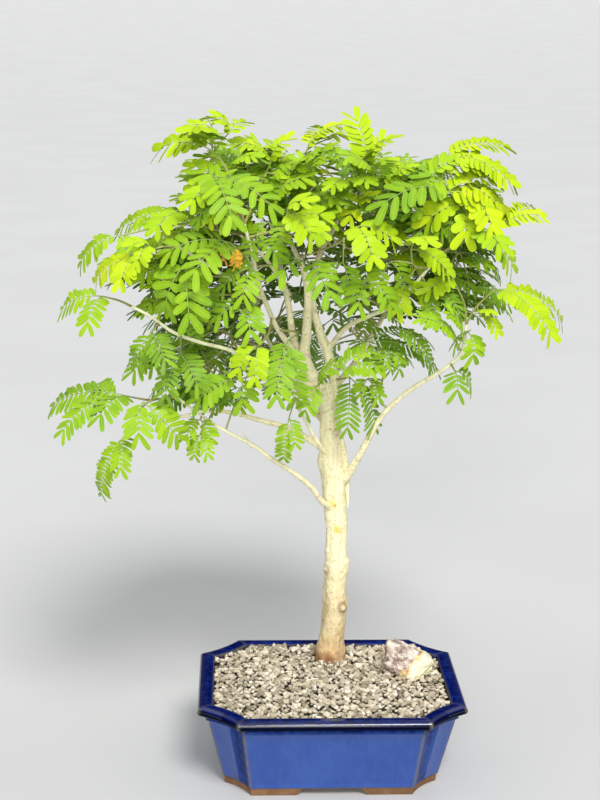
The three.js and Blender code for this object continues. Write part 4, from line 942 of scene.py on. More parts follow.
# %% [markdown]
# ## Trunk and branches
# The trunk is slim and almost straight, with low ribs, a few knots where branches were cut, and
# pale bark that turns red-brown at the soil. Each limb is a tube through a few points read from
# the picture. Its radius swells where it leaves its parent, and ribs, knots and small dents are
# added to the radius, so that the outline is never quite smooth. Thin branches are drawn up to a
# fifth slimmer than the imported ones, as they are in the picture.

# %% Rows of x, y, z and radius for the wood
TRUNK = [
    [3, 48, 34, 10.5], [3, 48, 56, 12], [3.3, 47.6, 66, 12], [3.5, 47.2, 72, 11.7], [3.8, 46.8, 77, 11.9],
    [4.1, 46.3, 85, 10.2], [5.2, 45.4, 94, 9.7], [6, 44.6, 107, 9.4], [6.9, 44, 114, 9.9],
    [6.3, 43.8, 121, 9.5], [6.1, 43.6, 130, 9], [6.5, 43.4, 138, 9.1], [6.8, 43.2, 146, 9.7],
    [7.1, 43, 153, 9.2], [6.2, 43, 162, 8.4], [6.8, 43.2, 177, 8.3], [6.2, 43.6, 187, 8.7],
    [4.9, 44, 203, 9.1], [4.2, 44, 219, 9.5], [1.8, 43.5, 235, 10], [1.9, 43, 244, 9],
    [0.9, 42.4, 260, 8.2], [0, 42, 270, 7.8], [-1, 42, 288, 6.4], [-2, 42, 296, 4.5],
]
BRANCHES = [
    [[-1, 42, 279, 5.6], [-10, 40, 295, 5.4], [-20, 36, 318, 4.6], [-19, 34, 337, 3.6],
     [-18, 32, 365, 3.2], [-21, 30, 385, 2.7], [-28, 30, 401, 2.2], [-34, 32, 413, 1.8]],
    [[-20, 36, 316, 2.9], [-28, 44, 330, 2.8], [-32, 50, 355, 2.6], [-35, 54, 369, 2.4],
     [-39, 62, 390, 2.1], [-37, 74, 413, 1.7]],
    [[-20, 36, 312, 2.6], [-35, 28, 334, 2.4], [-43, 22, 347, 2.2], [-54, 8, 375, 2],
     [-61, 0, 403, 1.8], [-67, -6, 427, 1.5]],
    [[0, 43, 284, 4.2], [4, 46, 298, 4], [-2, 50, 321, 3.6], [-8, 52, 337, 3.3],
     [-14, 56, 361, 2.8], [-10, 62, 390, 2.5], [3, 66, 416, 2.2], [13, 70, 433, 1.7]],
    [[-3, 50, 321, 2.2], [12, 40, 342, 2.1], [29, 30, 353, 1.9], [43, 22, 361, 1.8],
     [61, 14, 380, 1.6], [78, 8, 403, 1.4]],
    [[-32, 52, 365, 1.8], [-43, 40, 385, 1.8], [-54, 30, 400, 1.6], [-70, 20, 416, 1.3]],
    [[-54, 12, 370, 1.6], [-70, 0, 381, 1.5], [-95, -20, 400, 1.3], [-113, -30, 413, 1.2]],
    [[-10, 38, 294, 2.2], [-32, 20, 309, 2], [-77, -6, 333, 1.8], [-99, -16, 341, 1.6],
     [-119, -22, 350, 1.5], [-135, -20, 361, 1.4], [-149, -18, 368, 1.2]],
    [[0, 42, 243, 2.8], [-17, 44, 253, 2.6], [-31, 44, 261, 2.4], [-54, 46, 267, 2.2],
     [-79, 44, 274, 1.9], [-99, 38, 276, 1.7], [-114, 30, 274, 1.6], [-127, 20, 280, 1.4],
     [-138, 12, 291, 1.2]],
    [[-1, 40, 241, 2], [-10, 30, 254, 1.9], [-24, 16, 282, 1.6], [-32, 4, 305, 1.5], [-37, -4, 325, 1.3]],
    [[4, 42, 196, 2.6], [-6, 30, 206, 2.5], [-15, 22, 220, 2.3], [-32, 12, 236, 2.1],
     [-46, 4, 247, 2], [-62, -4, 261, 1.8], [-90, -14, 279, 1.5], [-117, -24, 302, 1.2]],
    [[7, 42, 216, 3.6], [14, 38, 225, 3.3], [23, 30, 243, 2.8], [37, 22, 273, 2.4],
     [51, 16, 291, 2.2], [65, 12, 303, 2], [84, 8, 316, 1.8], [95, 6, 327, 1.6],
     [99, 8, 339, 1.5], [100, 10, 350, 1.3]],
    [[0, 43, 262, 2.6], [-22, 66, 284, 2.3], [-42, 92, 312, 1.9], [-58, 118, 338, 1.5]],
    [[1, 44, 290, 2.8], [24, 72, 312, 2.4], [44, 98, 338, 2], [58, 122, 362, 1.5]],
    [[-37, 73, 405, 1.7], [-30, 98, 424, 1.6], [-20, 120, 440, 1.4]],
]
TRUNK_RIBS = [[0.35, 3, 24], [0.25, 5, -15]]
# Dead stubs and slivers on the wood, thin rows like those of the branches.
STUBS = [
    [[14.5, 43, 223, 2.4], [14.9, 42, 211, 1.9], [15.4, 42, 201, 1.3], [14.8, 42, 197, 0.5]],
    [[13.2, 40, 228, 2.6], [11.4, 40, 245, 2.4], [8.6, 40, 259, 1.2]],
    [[-61, 17, 252, 0.8], [-64, 16, 259, 0.7], [-68.3, 15, 265.4, 0.5]],
    [[-11, 38, 212, 0.8], [-14.2, 36, 215.7, 0.7], [-18.2, 36, 221.4, 0.5]],
]
# Marks on the trunk: height, angle in degrees, swelling, reach, brown, yellow, radius of a ring.
MARKS = [
    [115.5, -54, 1.3, 4.6, 0.85, 0, 0.8], [202, -109, 0.5, 4.2, 0, 1, 0], [201, -91, 0.4, 2.6, 0.9, 0, 0],
    [207, -98, 0.3, 2.4, 0.6, 0, 0], [181, -87, 0.4, 4.2, 0, 1, 0], [263, -94, 0.2, 2.2, 1, 0, 0],
    [260, -61, 0.6, 3.2, 0.5, 0, 0.8], [256, -81, 0.1, 1.7, 0.9, 0, 0], [147, -154, 1.0, 4.5, 0.5, 0, 0.6],
    [152, -3, 1.3, 4.5, 0.1, 0, 0], [128, -120, 0.5, 4, 0.3, 0, 0], [90, -110, 0.5, 4, 0.3, 0.2, 0],
    [168, 60, 1.3, 4.5, 0.7, 0, 0.8], [232, 120, 1.2, 4.5, 0.7, 0, 0.8], [106, 150, 0.8, 5, 0.4, 0, 0],
]


# %% Build the wood
BARK_SCALE = 0.15
TRUNK_SIDES = 96
TRUNK_STEPS = 14
BRANCH_SIDES = 20
BRANCH_STEPS = 9
SCAR_STEP = 11
BRANCH_SEED = 20
STUB_SEED = 50


def add_trunk(shape):
    """Radius = spline of the rows + ribs that turn as they climb + a bell for each mark + dents.
    Paint: patchiness near the soil, brown of the marks, yellow of the marks, thinness."""
    rings = spline(TRUNK, TRUNK_STEPS)
    centres, radius = rings[:, :3], rings[:, 3]
    angle = round_angles(TRUNK_SIDES)
    z = centres[:, 2:3]
    relief = sum(size * np.cos(count * angle + z / rise) for size, count, rise in TRUNK_RIBS)
    brown, yellow = np.zeros_like(relief), np.zeros_like(relief)
    for height, compass, size, reach, is_brown, is_yellow, ring in MARKS:
        turn = np.angle(np.exp(1j * (angle - math.radians(compass))))
        distance = np.hypot((z - height) / reach, turn * radius[:, None] / reach)
        bell = np.exp(-distance**2 * 1.4)
        hollow = np.exp(-((distance - ring) / 0.3)**2)
        relief = relief + size * bell - 0.7 * is_brown * size * hollow
        brown = np.maximum(brown, is_brown * np.exp(-((distance - ring) / 0.4)**2))
        yellow = np.maximum(yellow, is_yellow * np.exp(-(distance / 0.75)**2))
    flare = 1.8 * np.exp(-((z - 62) / 7)**2) * (0.5 + 0.5 * np.cos(5 * angle + 0.7))
    section = radius[:, None] * np.cos(angle), radius[:, None] * np.sin(angle), z
    at = np.stack(np.broadcast_arrays(*section), -1)
    dents = 0.14 * ripples(at, 7.0, 18, 7) + 0.10 * ripples(at * [1, 1, 0.3], 2.2, 24, 8)
    surface = radius[:, None] + relief + flare * 0.3 + dents
    directions = np.stack([np.cos(angle), np.sin(angle), 0 * angle], -1)
    points = centres[:, None] + surface[..., None] * directions
    patchy = smooth_step((92 - z) / 20) * smooth_step(ripples(at, 8.0, 14, 9) * 0.8)
    paint = np.stack(np.broadcast_arrays(patchy, brown, yellow, 0.0), -1).reshape(-1, 4)
    ends = np.stack([centres[0], centres[-1] + [0, 0, 2.5]])
    shape.add(np.vstack([points.reshape(-1, 3), ends]), tube_faces(1, len(rings), TRUNK_SIDES),
              np.vstack([paint, np.zeros((2, 4))]))


def add_branch(shape, rows, seed, collar=0.55):
    """Radius = spline of the rows, a collar where it leaves its parent, rings at the old leaf
    scars and small dents."""
    rings = spline(rows, BRANCH_STEPS)
    length = np.concatenate([[0], np.cumsum(np.linalg.norm(np.diff(rings[:, :3], axis=0), axis=1))])
    random = np.random.default_rng(seed)
    radius = rings[:, 3] * np.interp(rings[:, 3], [1.5, 3.5], [0.78, 1.0])
    radius = radius * (1 + collar * np.exp(-length / (3.2 * rows[0][3])))
    scars = length[:, None] - np.arange(6, length[-1], SCAR_STEP) - random.uniform(-3, 3)
    radius = radius * (1 + 0.08 * np.exp(-(scars / 1.1)**2).sum(1))
    wobble = ripples(rings[:, None, :3] + np.arange(BRANCH_SIDES)[:, None] * 1.7, 9.0, 12, seed)
    radii = radius[:, None] * (1 + 0.05 * wobble)
    thin = smooth_step((2.1 - radius) / 1.2)
    scar_brown = 0.3 * np.exp(-(scars / 0.7)**2).sum(1)
    paint = np.stack([0 * thin, np.clip(scar_brown, 0, 1), 0 * thin, thin], -1)
    add_tubes(shape, rings[None, :, :3], radii[None], BRANCH_SIDES, paint[None])


def make_bark():
    """Pale cream with fine streaks up the wood and small dark pores. The colour follows the
    height: tan low on the trunk, red-brown at the soil. Marks are brown or yellow."""
    material, tree, _, place, paint = new_finish("pale bark", 0.72, Specular_IOR_Level=0.2)
    patchy, brown, yellow, thin = channels(tree, paint)
    patches = mottled(tree, place, 60.0, 0.3, 0.7)
    height = add_node(tree, "SeparateXYZ", {0: place}).outputs[2]
    wander = math_node(tree, "MULTIPLY_ADD", patches, 0.05, -0.025)
    level = math_node(tree, "MULTIPLY_ADD", height, 1 / BARK_SCALE, wander)
    colour = ramp(tree, level, [
        (0.45, (0.20, 0.085, 0.04)), (0.475, (0.48, 0.24, 0.10)), (0.52, (0.72, 0.50, 0.25)),
        (0.64, (0.80, 0.60, 0.31)), (0.80, (0.84, 0.72, 0.41)), (1.0, (0.90, 0.86, 0.55)),
    ])
    streaks = mottled(tree, stretched(tree, place, (640.0, 640.0, 40.0)), 1.0, 0.42, 0.60)
    streak_colour = ramp(tree, level, [(0.5, (0.40, 0.23, 0.10)), (0.9, (0.80, 0.65, 0.38))])
    pores = mottled(tree, stretched(tree, place, (520.0, 520.0, 640.0)), 1.0, 0.58, 0.64)
    for mask, amount, tint in (
        (streaks, 0.6, streak_colour), (patches, 0.3, (0.90, 0.87, 0.60, 1)),
        (pores, 0.5, (0.42, 0.28, 0.12, 1)), (patchy, 0.6, (0.46, 0.25, 0.11, 1)),
        (yellow, 0.95, (0.80, 0.60, 0.09, 1)), (brown, 0.85, (0.26, 0.14, 0.07, 1)),
        (thin, 0.75, (0.96, 0.95, 0.66, 1)),
    ):
        colour = tinted(tree, colour, mask, amount, tint)
    return finished(material, colour, stretched(tree, place, (1.0, 1.0, 0.3)), 420.0, 0.4, 0.0007)


wood_shape = Shape()
add_trunk(wood_shape)
for number, rows in enumerate(BRANCHES):
    add_branch(wood_shape, rows, number + BRANCH_SEED)
for number, rows in enumerate(STUBS):
    add_branch(wood_shape, rows, number + STUB_SEED, collar=0.0)
wood = wood_shape.make("trunk_and_branches", [make_bark()], "bark")
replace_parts(wood, "trunk")

# %% [markdown]
# ## Leaves
# A leaf of this tree is a stalk that forks into two feathers, and each feather carries pairs of
# oblong leaflets. The last pair is broader and points forward. A leaflet is a thin closed shell
# of 22 points: its outline is a blunt oval, and its middle line lies a hair above and below, so
# it catches the light as two slightly tilted halves.

# %% One leaflet
STATIONS = np.array([0.10, 0.32, 0.60, 0.84, 0.96])
THICKNESS = 0.28
LEAFLET_POINTS = 22


def blunt_oval(share, fullness):
    """Half width of a leaflet along its length: an oval with blunt ends, narrower at the base
    the smaller `fullness` is."""
    oval = np.sqrt(np.clip(1 - np.abs(2 * share - 1)**3.2, 0, 1))
    return oval * (fullness + (1 - fullness) * share)


def leaflet_faces():
    """Upper and lower faces between the tip points, the two edges and the two middle lines.
    Points: base, tip, five on the right edge, five upper middle, five left edge, five lower."""
    right, upper, left, lower = (2 + 5 * k + np.arange(5) for k in range(4))

    def strip(a, b):
        return np.stack([a[:-1], a[1:], b[1:], b[:-1]], -1)

    quads = np.vstack([strip(right, upper), strip(upper, left), strip(left, lower), strip(lower, right)])
    fan = []
    for a, b in ((right, upper), (upper, left), (left, lower), (lower, right)):
        fan += [[0, a[0], b[0]], [1, b[-1], a[-1]]]
    return quads, np.array(fan)


LEAFLET_FACES = leaflet_faces()


def add_leaflets(shape, base, out, up, length, width, fullness, fold, droop, tone):
    """Many leaflets at once. Point = base + out (share x length) + side (half width)
    + up (fold x half width - droop x share squared x length). Paint: tone, edge, underside."""
    out = unit(out)
    side = unit(np.cross(up, out))
    up = np.cross(out, side)
    half = blunt_oval(STATIONS, fullness[:, None]) * width[:, None] / 2
    lift = -droop[:, None] * STATIONS**2 * length[:, None]
    along = out[:, None] * (STATIONS * length[:, None])[..., None]
    middle = base[:, None] + along + up[:, None] * lift[..., None]
    edge_lift = up[:, None] * (fold[:, None] * half)[..., None]
    right = middle - side[:, None] * half[..., None] + edge_lift
    left = middle + side[:, None] * half[..., None] + edge_lift
    half_thick = up[:, None] * THICKNESS / 2
    tip = base + out * length[:, None] - up * (droop * length)[:, None]
    ends = np.stack([base, tip], 1)
    points = np.concatenate([ends, right, middle + half_thick, left, middle - half_thick], 1)
    count = len(base)
    on_edge = [0, 1, *range(2, 7), *range(12, 17)]
    paint = np.zeros((LEAFLET_POINTS, 4))
    paint[on_edge, 1] = 1
    paint[17:, 2] = 1
    paint[on_edge, 2] = 0.5
    paint = np.broadcast_to(paint, (count, LEAFLET_POINTS, 4)).copy()
    paint[..., 0] = tone[:, None]
    shift = np.arange(count)[:, None, None] * LEAFLET_POINTS
    faces = [(group + shift).reshape(-1, group.shape[1]) for group in LEAFLET_FACES]
    shape.add(points, faces, paint.reshape(-1, 4))


# %% [markdown]
# A feather is one arched rib with leaflets on both sides. Leaflets near the fork stand almost
# square to the rib and those near the tip lean forward. Between the two feathers of a leaf there
# is little room, so the inner leaflets there stay short or are missing. The upper side of a
# feather faces the light: up, and outwards from the middle of the crown.

# %% One feather, one leaf
RIB_ARCH = 0.16
RIB_END = 0.75
FIRST_LEAFLET = 0.16
BIG_LEAFLET = 15.5
OPEN_HABIT = (0.40, 0.34)
# Tones, and at each the step between pairs and the width, as shares of a leaflet's length.
HABIT_TONES = [0.2, 0.5, 0.9]
HABIT_STEPS = [0.28, 0.30, 0.30]
HABIT_WIDTHS = [0.25, 0.33, 0.44]
INNER_ROOM = 1.15
SHINGLE = 0.38
SHORTEST = 0.35
CROWN_MIDDLE = np.array([-20.0, 100.0, 330.0])
CROWN_RADIUS = 150.0
OUTWARD = np.array([0.3, 1.0, 0.3])


def face_light(place, reach):
    """The way a feather's upper side faces: the light's direction, made square to its reach."""
    light = unit((place - CROWN_MIDDLE) * OUTWARD / CROWN_RADIUS + [0, 0, 1])
    reach = unit(reach)
    return unit(light - reach * (light @ reach))


def leaf_habit(leaflet, tone):
    """Step between pairs and width of a leaflet, both as shares of its length. The largest old
    leaves are open, other old leaves have slim close leaflets, and new ones are broad and overlap."""
    if leaflet > BIG_LEAFLET and tone < 0.5:
        return OPEN_HABIT
    return np.interp(tone, HABIT_TONES, HABIT_STEPS), np.interp(tone, HABIT_TONES, HABIT_WIDTHS)


def add_feather(shape, fork, tip, other, leaflet, tone, random):
    """Rib = arc from the fork to the last pair. Leaflets stand on it at equal steps."""
    reach = tip - fork
    up = face_light(fork, reach)
    rib_length = max(np.linalg.norm(reach) - RIB_END * leaflet, 0.4 * np.linalg.norm(reach))
    direction = unit(reach)
    spread = math.acos(np.clip(direction @ unit(other), -1, 1))
    end = fork + direction * rib_length
    control = (fork + end) / 2 + up * 2 * RIB_ARCH * rib_length
    pitch, slimness = leaf_habit(leaflet, tone)
    pairs = max(3, round((1 - FIRST_LEAFLET) * rib_length / (pitch * leaflet)) + 1)
    share = np.tile(np.linspace(FIRST_LEAFLET, 1, pairs), 2)
    side = np.repeat([1.0, -1.0], pairs)
    last = share > 0.999
    base = bezier(fork, control, end, share)
    along = unit(2 * (1 - share)[:, None] * (control - fork) + 2 * share[:, None] * (end - control))
    across = unit(np.cross(up, along))
    angle = np.interp(share, [0, 0.75, 0.93, 1], [1.22, 1.0, 0.85, 0.5]) + random.normal(0, 0.05, 2 * pairs)
    local_up = np.cross(along, across)
    out = (np.cos(angle)[:, None] * along + (side * np.sin(angle))[:, None] * across
           - random.uniform(0.02, 0.22, 2 * pairs)[:, None] * local_up)
    full = leaflet * np.interp(share, [0, 0.35, 0.9, 1], [0.74, 1.0, 1.03, 1.0])
    full = full * random.uniform(0.93, 1.07, 2 * pairs)
    inner = side == np.sign(across[0] @ other)
    room = INNER_ROOM * share * rib_length * math.tan(min(spread / 2, 1.3))
    length = np.where(inner & ~last, np.minimum(full, room), full)
    keep = length > SHORTEST * leaflet
    roll = side * (SHINGLE * smooth_step((tone - 0.35) / 0.4) + random.normal(0.0, 0.14, 2 * pairs))
    normal = unit(local_up + roll[:, None] * np.cross(out, local_up))
    width = np.where(last, 1.12, 1.0) * slimness * leaflet * random.uniform(0.92, 1.08, 2 * pairs)
    fold = random.normal(0.12, 0.12, 2 * pairs)
    droop = random.uniform(0.0, 0.16, 2 * pairs)
    shade = np.clip(tone + random.normal(0, 0.05, 2 * pairs), 0, 1)
    fullness = np.where(last, 0.6, 0.85)
    add_leaflets(shape, base[keep], out[keep], normal[keep], length[keep], width[keep], fullness[keep],
                 fold[keep], droop[keep], shade[keep])
    steps = np.linspace(0, 1, 9)
    path = bezier(fork, control, end + direction * 0.08 * leaflet, steps)
    add_tubes(shape, path[None], np.interp(steps, [0, 1], [0.5, 0.28])[None], 5,
              [tone, 0, 0, 0], finish=1)
    return int(keep.sum())


def add_leaf(shape, leaf, tone, random):
    """Two feathers from one fork, with a small swelling between them."""
    fork, first, second = (np.array(point, float) for point in leaf[:3])
    tone = tone + random.normal(0, 0.04)
    count = 0
    for tip, other in ((first, second), (second, first)):
        count += add_feather(shape, fork, tip, other - fork, leaf[3], tone, random)
    return count


# %% [markdown]
# ## Shoots
# The rows below were read from the picture one leaf at a time: the fork where the two feathers
# part, the tip of each feather and the length of a leaflet. Shoots with back in their name fill
# the side that the picture doesn't show. Tone runs from 0, an old deep green leaf, to 1, a new
# yellow-green one. A shoot's stem leaves the nearest wood, runs through its own points and ends
# in the fork of its first leaf. The other leaves have a stalk of their own.

# %% Leaf rows
SHOOTS = [
    ("shoot_low_left_tip", 0.35, [[-143, 6, 293]], [
        ([-153, -2, 297], [-219, 10, 288], [-177, -38, 288], 14)]),
    ("shoot_low_left_front", 0.4, [[-126, -30, 302], [-137, -38, 301], [-147, -40, 289]], [
        ([-153, -38, 277], [-175, -30, 224], [-157, -62, 252], 10),
        ([-140, -42, 302], [-143, -72, 278], [-109, -50, 272], 14)]),
    ("shoot_low_mid", 0.4, [[-52, -14, 319]], [
        ([-68, -26, 316], [-108, -46, 302], [-68, -42, 294], 15)]),
    ("shoot_mid_left_hang", 0.15, [], [
        ([-113, -36, 337], [-97, -64, 314], [-126, -58, 303], 13)]),
    ("shoot_mid_left_low", 0.2, [], [
        ([-134, -30, 351], [-149, -34, 321], [-121, -68, 335], 12)]),
    ("shoot_left_tip", 0.5, [[-158, -22, 373]], [
        ([-169, -28, 377], [-206, -22, 366], [-181, -56, 357], 12)]),
    ("shoot_left_mid", 0.85, [[-126, -34, 414]], [
        ([-144, -36, 407], [-179, -36, 388], [-156, -66, 391], 11),
        ([-134, -40, 415], [-145, -62, 404], [-150, -54, 420], 10)]),
    ("shoot_left_upper", 0.6, [[-88, 6, 421], [-106, -4, 427], [-132, -8, 424]], [
        ([-157, -14, 419], [-192, -14, 396], [-143, -34, 398], 12),
        ([-109, -6, 432], [-167, 6, 420], [-133, -46, 429], 13)]),
    ("shoot_left_big", 0.3, [[-100, -34, 402]], [
        ([-108, -50, 405], [-128, -56, 366], [-105, -80, 362], 18)]),
    ("shoot_left_pale", 0.4, [[-66, -20, 406]], [
        ([-77, -42, 418], [-130, -54, 413], [-107, -84, 400], 16),
        ([-61, -20, 397], [-89, -26, 381], [-70, -46, 374], 13)]),
    ("shoot_front_left", 0.4, [[-57, -4, 368]], [
        ([-65, -24, 372], [-62, -48, 348], [-93, -34, 360], 14)]),
    ("shoot_front_left_new", 0.74, [[-49, 0, 344]], [
        ([-57, -34, 342], [-75, -52, 324], [-60, -58, 318], 11)]),
    ("shoot_front_centre", 0.35, [[-27, 8, 344]], [
        ([-35, -18, 343], [-29, -28, 293], [-45, -66, 306], 13)]),
    ("shoot_trunk_front", 0.4, [], [
        ([-11, 10, 303], [-24, 0, 279], [3, -6, 327], 11)]),
    ("shoot_right_inner", 0.15, [[9, 34, 303]], [
        ([14, 26, 306], [38, 22, 260], [11, 0, 264], 12)]),
    ("shoot_right_twig", 0.3, [[37, 20, 289], [39, 20, 307]], [
        ([39, 18, 327], [48, 16, 307], [27, 4, 312], 11)]),
    ("shoot_right_low", 0.3, [], [
        ([91, -2, 317], [111, 4, 300], [92, -22, 299], 13)]),
    ("shoot_right_hang", 0.5, [], [
        ([100, -6, 347], [105, -16, 323], [88, 12, 332], 13)]),
    ("shoots_right_tip", 0.8, [[106, 4, 364]], [
        ([118, -4, 379], [178, 4, 354], [160, -46, 350], 13),
        ([108, -6, 359], [123, -20, 349], [114, -26, 369], 9)]),
    ("shoots_right_tip", 0.7, [[98, 8, 366]], [
        ([88, 0, 386], [63, -20, 380], [73, -26, 403], 12)]),
    ("shoot_right_pale", 0.5, [], [
        ([90, -20, 338], [56, -54, 370], [80, -46, 374], 10)]),
    ("shoot_right_dark", 0.15, [[19, 40, 336]], [
        ([25, 42, 330], [89, 36, 310], [85, 78, 326], 12)]),
    ("shoots_right_end", 0.2, [[88, 24, 403]], [
        ([97, 34, 401], [135, 40, 382], [117, 66, 368], 12)]),
    ("shoots_right_front", 0.25, [], [
        ([72, 0, 378], [97, -16, 360], [73, -14, 351], 13)]),
    ("shoots_right_end", 0.55, [[90, 0, 413]], [
        ([101, -8, 420], [138, -12, 393], [121, -44, 417], 15)]),
    ("shoots_right_end", 0.9, [[101, 14, 414]], [
        ([122, 8, 423], [157, 0, 437], [157, 34, 439], 11)]),
    ("shoots_right_end", 0.9, [[81, 10, 425], [86, 10, 447]], [
        ([79, 16, 473], [134, 20, 485], [133, -14, 458], 13),
        ([89, 8, 452], [133, 4, 437], [116, -34, 426], 15),
        ([94, 0, 440], [58, -20, 431], [93, -30, 417], 17)]),
    ("shoots_top_right", 0.7, [[18, 48, 442]], [
        ([22, 24, 457], [15, 20, 510], [38, -4, 496], 14)]),
    ("shoots_top_right", 0.3, [[35, 30, 432], [73, 2, 448]], [
        ([80, -4, 452], [23, -34, 445], [60, -6, 474], 19),
        ([19, 22, 430], [23, 6, 451], [6, 0, 446], 11)]),
    ("shoot_top_mid", 0.95, [[-29, 60, 442]], [
        ([-20, 40, 477], [11, 34, 501], [-4, 74, 496], 10),
        ([-26, 50, 453], [-49, 76, 474], [2, 70, 468], 14),
        ([-16, 44, 443], [12, 28, 456], [4, 14, 433], 14)]),
    ("shoots_top_left", 0.85, [[-58, 8, 446]], [
        ([-47, 20, 470], [-75, 6, 489], [-34, 14, 493], 12),
        ([-57, 12, 449], [-73, 34, 476], [-46, 42, 466], 14)]),
    ("shoots_top_left", 0.75, [[-73, -8, 452], [-83, -8, 472]], [
        ([-90, -10, 480], [-137, -10, 485], [-105, -52, 505], 17),
        ([-90, 0, 495], [-114, -4, 499], [-99, 22, 506], 12),
        ([-78, 4, 492], [-88, -4, 510], [-65, 10, 505], 11)]),
    ("shoots_top_left", 0.7, [[-74, -18, 442]], [
        ([-86, -28, 456], [-113, -30, 457], [-108, -60, 448], 13)]),
    ("shoots_top_left", 0.35, [[-76, -30, 442]], [
        ([-89, -46, 465], [-40, -70, 444], [-73, -92, 437], 16),
        ([-86, -40, 444], [-105, -50, 434], [-79, -60, 433], 12)]),
    ("shoot_front_mid", 0.35, [], [
        ([-24, -8, 400], [-2, -46, 378], [-45, -40, 396], 16)]),
    ("shoot_front_top", 0.75, [[-35, 0, 425]], [
        ([-37, -38, 439], [-14, -60, 421], [-23, -60, 454], 14),
        ([-30, -10, 430], [-4, -22, 438], [-10, -46, 426], 13)]),
    ("shoot_front_right", 0.8, [[4, 20, 410]], [
        ([13, -20, 427], [47, -34, 419], [26, -60, 407], 14)]),
    ("shoot_front_right_low", 0.4, [[25, 8, 371]], [
        ([21, -10, 386], [46, -30, 368], [14, -32, 366], 14)]),
    ("shoots_right_front", 0.75, [[58, -4, 397]], [
        ([54, -20, 411], [86, -34, 394], [64, -60, 424], 12),
        ([52, 2, 380], [78, -6, 368], [44, -20, 361], 12)]),
    ("shoots_back_left", 0.3, [[-70, 128, 346], [-80, 138, 350]], [
        ([-82, 142, 352], [-126, 150, 340], [-92, 182, 334], 13)]),
    ("shoot_back_left_low", 0.25, [[-66, 96, 322], [-90, 94, 330]], [
        ([-94, 94, 332], [-142, 88, 320], [-116, 130, 322], 13)]),
    ("shoots_back_left", 0.5, [[-58, 108, 352], [-72, 110, 376]], [
        ([-75, 112, 380], [-122, 106, 388], [-86, 152, 382], 13)]),
    ("shoots_back_right", 0.35, [[68, 132, 372], [78, 140, 380]], [
        ([81, 142, 382], [122, 150, 370], [86, 182, 366], 13)]),
    ("shoot_back_right_low", 0.25, [[66, 94, 344], [88, 90, 348]], [
        ([92, 90, 350], [140, 84, 342], [112, 126, 342], 12)]),
    ("shoots_back_right", 0.45, [[54, 106, 384], [60, 98, 412]], [
        ([62, 98, 416], [110, 98, 420], [72, 140, 410], 13)]),
    ("shoot_back_top", 0.6, [[-16, 130, 450], [-12, 136, 458]], [
        ([-10, 138, 460], [34, 150, 452], [-22, 176, 444], 13)]),
    ("shoot_back_top_left", 0.55, [[-46, 104, 436], [-62, 106, 446]], [
        ([-64, 108, 448], [-108, 106, 452], [-74, 148, 440], 13)]),
    ("shoot_back_middle", 0.2, [[-20, 96, 372], [-16, 120, 388]], [
        ([-15, 124, 390], [22, 146, 382], [-40, 156, 376], 13)]),
]
